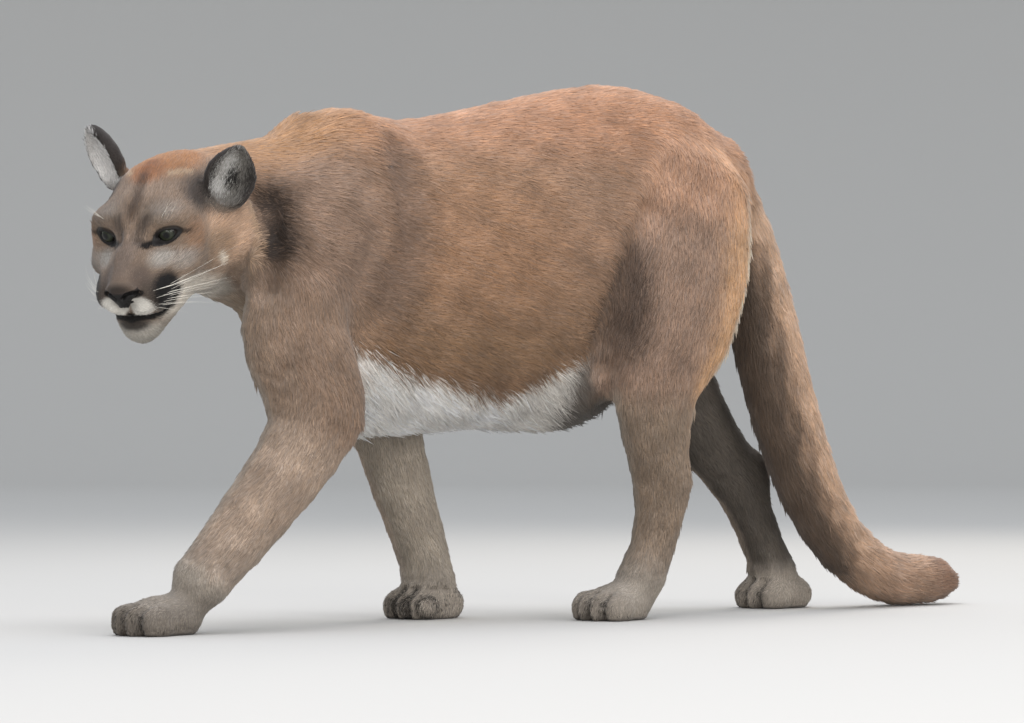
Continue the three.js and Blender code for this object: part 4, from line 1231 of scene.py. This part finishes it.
# %% Coat pieces
PIECE_TUFTS = 64000
BAKE_PATCH = 0.003  # width of a tuft's patch on the skin's unwrap


def mesh_from_arrays(name, places, faces):
    """A mesh of triangles from arrays of places and corner numbers."""
    data = bpy.data.meshes.new(name)
    data.vertices.add(len(places))
    data.vertices.foreach_set("co", places.astype(np.float32).ravel())
    data.loops.add(faces.size)
    data.loops.foreach_set("vertex_index", faces.astype(np.int32).ravel())
    data.polygons.add(len(faces))
    data.polygons.foreach_set("loop_start", np.arange(0, faces.size, 3, dtype=np.int32))
    data.update(calc_edges=True)
    data.polygons.foreach_set("use_smooth", np.ones(len(faces), bool))
    piece = bpy.data.objects.new(name, data)
    bpy.context.scene.collection.objects.link(piece)
    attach(piece, "root")
    return piece


def paint(piece, tones, along):
    """Writes the colour and the share of the hair's length at each vertex."""
    colours = np.ones((len(tones), 4), np.float32)
    colours[:, :3] = tones
    tint = piece.data.attributes.new("tone", "FLOAT_COLOR", "POINT")
    tint.data.foreach_set("color", colours.ravel())
    piece.data.attributes.new("along", "FLOAT", "POINT").data.foreach_set("value", along.astype(np.float32))


order = np.argsort(root[:, 0], kind="stable")
coat_pieces = []
for number, chosen in enumerate(np.array_split(order, math.ceil(total / PIECE_TUFTS))):
    many = len(chosen)
    faces = (TUFT_FACES[None] + 4 * np.arange(many)[:, None, None]).reshape(-1, 3)
    piece = mesh_from_arrays(f"coat_{number + 1}", tuft_points[chosen].reshape(-1, 3), faces)
    uv = piece.data.uv_layers.new(name="OFBake")
    corner_at = np.array([[-0.5, -0.5], [0.5, -0.5], [0.0, 0.0], [0.0, 0.5]]) * BAKE_PATCH
    tuft_uv = root_uv[chosen][:, None, :] + corner_at[None]
    uv.data.foreach_set("uv", tuft_uv.reshape(-1, 2)[faces.ravel()].astype(np.float32).ravel())
    paint(piece, np.repeat(tone[chosen], 4, axis=0), np.tile(np.array([0, 0, BEND_AT, 1]), many))
    piece.data.normals_split_custom_set_from_vertices(tuft_normals[chosen].reshape(-1, 3))
    coat_pieces.append(piece)
print("coat", len(coat_pieces), "pieces", round(time.perf_counter() - STARTED, 1), "s")

# %% [markdown]
# ## Whiskers
#
# Stiff tapered bristles in four rows grow from the pads beside the nose and sweep back past the cheeks.
# A few stand over each eye.

# %% Bristles
RING = 4
WHISKER_STEPS, WHISKER_THICK = 7, 0.24
ROW_HEIGHTS = (-47, -54, -61, -68)


def bristle(start, way, sag, length, thick):
    """Places and faces of one tapered bristle, in the head's frame."""
    t = np.linspace(0, 1, WHISKER_STEPS)[:, None]
    middle = start + way * length * t + np.array(sag) * length * t ** 2
    side = unit(np.cross(way, [0.1, 0.2, 1.0]))
    over = np.cross(side, way)
    turn = np.arange(RING) * 2 * math.pi / RING
    ring = side * np.cos(turn)[:, None] + over * np.sin(turn)[:, None]
    places = middle[:, None] + ring[None] * (thick * (1 - 0.88 * t))[:, :, None]
    faces = []
    for step in range(WHISKER_STEPS - 1):
        for k in range(RING):
            low_a, low_b = step * RING + k, step * RING + (k + 1) % RING
            faces += [[low_a, low_b, low_b + RING], [low_a, low_b + RING, low_a + RING]]
    last = (WHISKER_STEPS - 1) * RING
    faces += [[2, 1, 0], [3, 2, 0], [last, last + 1, last + 2], [last, last + 2, last + 3]]
    return places.reshape(-1, 3), np.array(faces)


skin_head = to_head(points)
whisker_places, whisker_faces, count = [], [], 0
for side in (1, -1):
    roots = []
    for row, high in enumerate(ROW_HEIGHTS):
        for column in range(5):
            roots.append(((62 - 6 * column, side * (36 + 3.4 * column), high - 0.8 * column), column, row))
    for start, column, row in roots:
        start = skin_head[np.argmin(np.linalg.norm(skin_head - np.array(start), axis=1))]
        way = unit(np.array([-0.62 - 0.05 * column, side * (0.78 - 0.04 * column), 0.05 - 0.11 * row])
                   + rng.normal(0, 0.07, 3))
        sag = (-0.22, -side * 0.10, -0.10 - 0.03 * row)
        length = (58 + 10 * column - 5 * row) * rng.uniform(0.75, 1.1)
        places, faces = bristle(start - way, way, sag, length, WHISKER_THICK)
        whisker_places.append(places)
        whisker_faces.append(faces + count)
        count += len(places)
    for number in range(3):
        start = np.array([6 - 5 * number, side * (40 + 5 * number), 26])
        start = skin_head[np.argmin(np.linalg.norm(skin_head - start, axis=1))]
        way = unit(np.array([0.45, side * 0.45, 0.78]) + rng.normal(0, 0.08, 3))
        places, faces = bristle(start - way, way, (-0.35, side * 0.1, -0.1),
                                34 * rng.uniform(0.8, 1.1), WHISKER_THICK)
        whisker_places.append(places)
        whisker_faces.append(faces + count)
        count += len(places)
whiskers = mesh_from_arrays("whiskers", from_head(np.vstack(whisker_places)), np.vstack(whisker_faces))
print("whiskers", len(whiskers.data.polygons), "faces")

# %% [markdown]
# ## Finishes
#
# Hair is darker at its root and paler just below the tip, with faint patches a few centimetres across.
# The nose is pebbled leather, and the edges of lids and lips are dark, smooth and moist.

# %% Hair and skin materials


def hair_material(name, root_shade, rough):
    """Hair coloured by the markings, darker at the root by the shade given."""
    material, tree, shader = new_material(name, rough=rough)
    shader.inputs["Specular IOR Level"].default_value = 0.22
    shader.inputs["Sheen Weight"].default_value = 0.12
    shader.inputs["Sheen Roughness"].default_value = 0.5
    tone_node = add_node(tree, "ShaderNodeAttribute", attribute_name="tone")
    along = add_node(tree, "ShaderNodeAttribute", attribute_name="along")
    ramp = add_node(tree, "ShaderNodeValToRGB", [("Fac", along, "Fac")])
    stops = ramp.color_ramp.elements
    stops[0].position, stops[0].color = 0.0, (root_shade, root_shade, root_shade, 1)
    stops[1].position, stops[1].color = 1.0, (1.0, 1.0, 1.0, 1)
    place_node = add_node(tree, "ShaderNodeTexCoord")
    patches = add_node(tree, "ShaderNodeTexNoise", [("Vector", place_node, "Object"),
                                                    ("Scale", 1 / 0.045), ("Detail", 3.0)])
    patch_shade = add_node(tree, "ShaderNodeMapRange", [
        ("Value", patches, "Fac"), ("From Min", 0.3), ("From Max", 0.7), ("To Min", 0.9), ("To Max", 1.1)])
    once = add_node(tree, "ShaderNodeMix", data_type="RGBA", blend_type="MULTIPLY")
    once.inputs["Factor"].default_value = 1.0
    tree.links.new(tone_node.outputs["Color"], once.inputs[6])
    tree.links.new(ramp.outputs["Color"], once.inputs[7])
    twice = add_node(tree, "ShaderNodeVectorMath", [(0, once, 2), ("Scale", patch_shade, "Result")],
                     operation="SCALE")
    tree.links.new(twice.outputs["Vector"], shader.inputs["Base Color"])
    return material, tree, shader


fur, _, _ = hair_material("cougar_hair", 0.66, 0.62)
under_fur, under_tree, under_shader = hair_material("skin_under_the_hair", 0.55, 0.8)
fine_hair = add_node(under_tree, "ShaderNodeTexNoise", [("Scale", 1 / 0.0016), ("Detail", 2.0)])
object_place = next(n for n in under_tree.nodes if n.bl_idname == "ShaderNodeTexCoord")
under_tree.links.new(object_place.outputs["Object"], fine_hair.inputs["Vector"])
hair_bump = add_node(under_tree, "ShaderNodeBump", [("Height", fine_hair, "Fac"), ("Strength", 0.5),
                                                    ("Distance", 0.0012)])
under_tree.links.new(hair_bump.outputs["Normal"], under_shader.inputs["Normal"])

# %% Nose leather, lips and whiskers
PEBBLE = 0.0011
leather, leather_tree, leather_shader = new_material("moist_nose_leather", "#2a201c", 0.55)
leather_tone = add_node(leather_tree, "ShaderNodeAttribute", attribute_name="tone")
leather_tree.links.new(leather_tone.outputs["Color"], leather_shader.inputs["Base Color"])
leather_place = add_node(leather_tree, "ShaderNodeTexCoord")
pebbles = add_node(leather_tree, "ShaderNodeTexVoronoi", [("Vector", leather_place, "Object"),
                                                          ("Scale", 1 / PEBBLE)])
pebble_bump = add_node(leather_tree, "ShaderNodeBump", [("Height", pebbles, "Distance"), ("Strength", 0.6),
                                                        ("Distance", 0.0004)])
leather_tree.links.new(pebble_bump.outputs["Normal"], leather_shader.inputs["Normal"])
leather_shader.inputs["Specular IOR Level"].default_value = 0.3
lip, _, lip_shader = new_material("dark_lip_and_lid_edge", "#120e0d", 0.5)
lip_shader.inputs["Specular IOR Level"].default_value = 0.3
bristle_white, _, _ = new_material("whisker_keratin", "#e9e4d8", 0.45)
whiskers.data.materials.append(bristle_white)
for piece in coat_pieces:
    piece.data.materials.append(fur)
for material in (under_fur, leather, lip):
    skin.data.materials.append(material)

# %% Skin finish
skin_tones = markings(points, outward, part_shares)
face = mirrored(to_head(points))
on_nose = ((leather_part > 0.5) | (nostril_far < 3.2)) & near_head
leather_tones = flat(len(points), "#332924")
leather_tones = lay(leather_tones, ease((-face[:, 2] - 34) / 6), "#0d0b0a")
leather_tones = lay(leather_tones, ease((4.2 - nostril_far) / 2), "#070505")
skin_tones = np.where(on_nose[:, None], leather_tones, skin_tones)
paint(skin, skin_tones, np.where(bare > 0.5, 1.0, 0.0))
face_corners = np.empty(len(mesh.loops), np.int32)
mesh.loops.foreach_get("vertex_index", face_corners)
face_corners = face_corners.reshape(-1, 3)
finish = np.zeros(len(face_corners), np.int32)
finish[on_nose[face_corners].mean(axis=1) > 0.5] = 1
finish[(np.minimum(edge[face_corners].mean(axis=1) - 0.4, mouth_far[face_corners].mean(axis=1)) < 1.6)] = 2
finish[~near_head[face_corners[:, 0]]] = 0
mesh.polygons.foreach_set("material_index", finish)
select_only(skin)
bpy.ops.object.shade_smooth()
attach(skin, "root")
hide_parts(*FLESH)
print("skin finishes", np.bincount(finish).tolist())

# %% Sizes and finish
visual_box = [list(corner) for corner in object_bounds()]
print("cad", cad_box, "visual", visual_box, round(time.perf_counter() - STARTED, 1), "s")
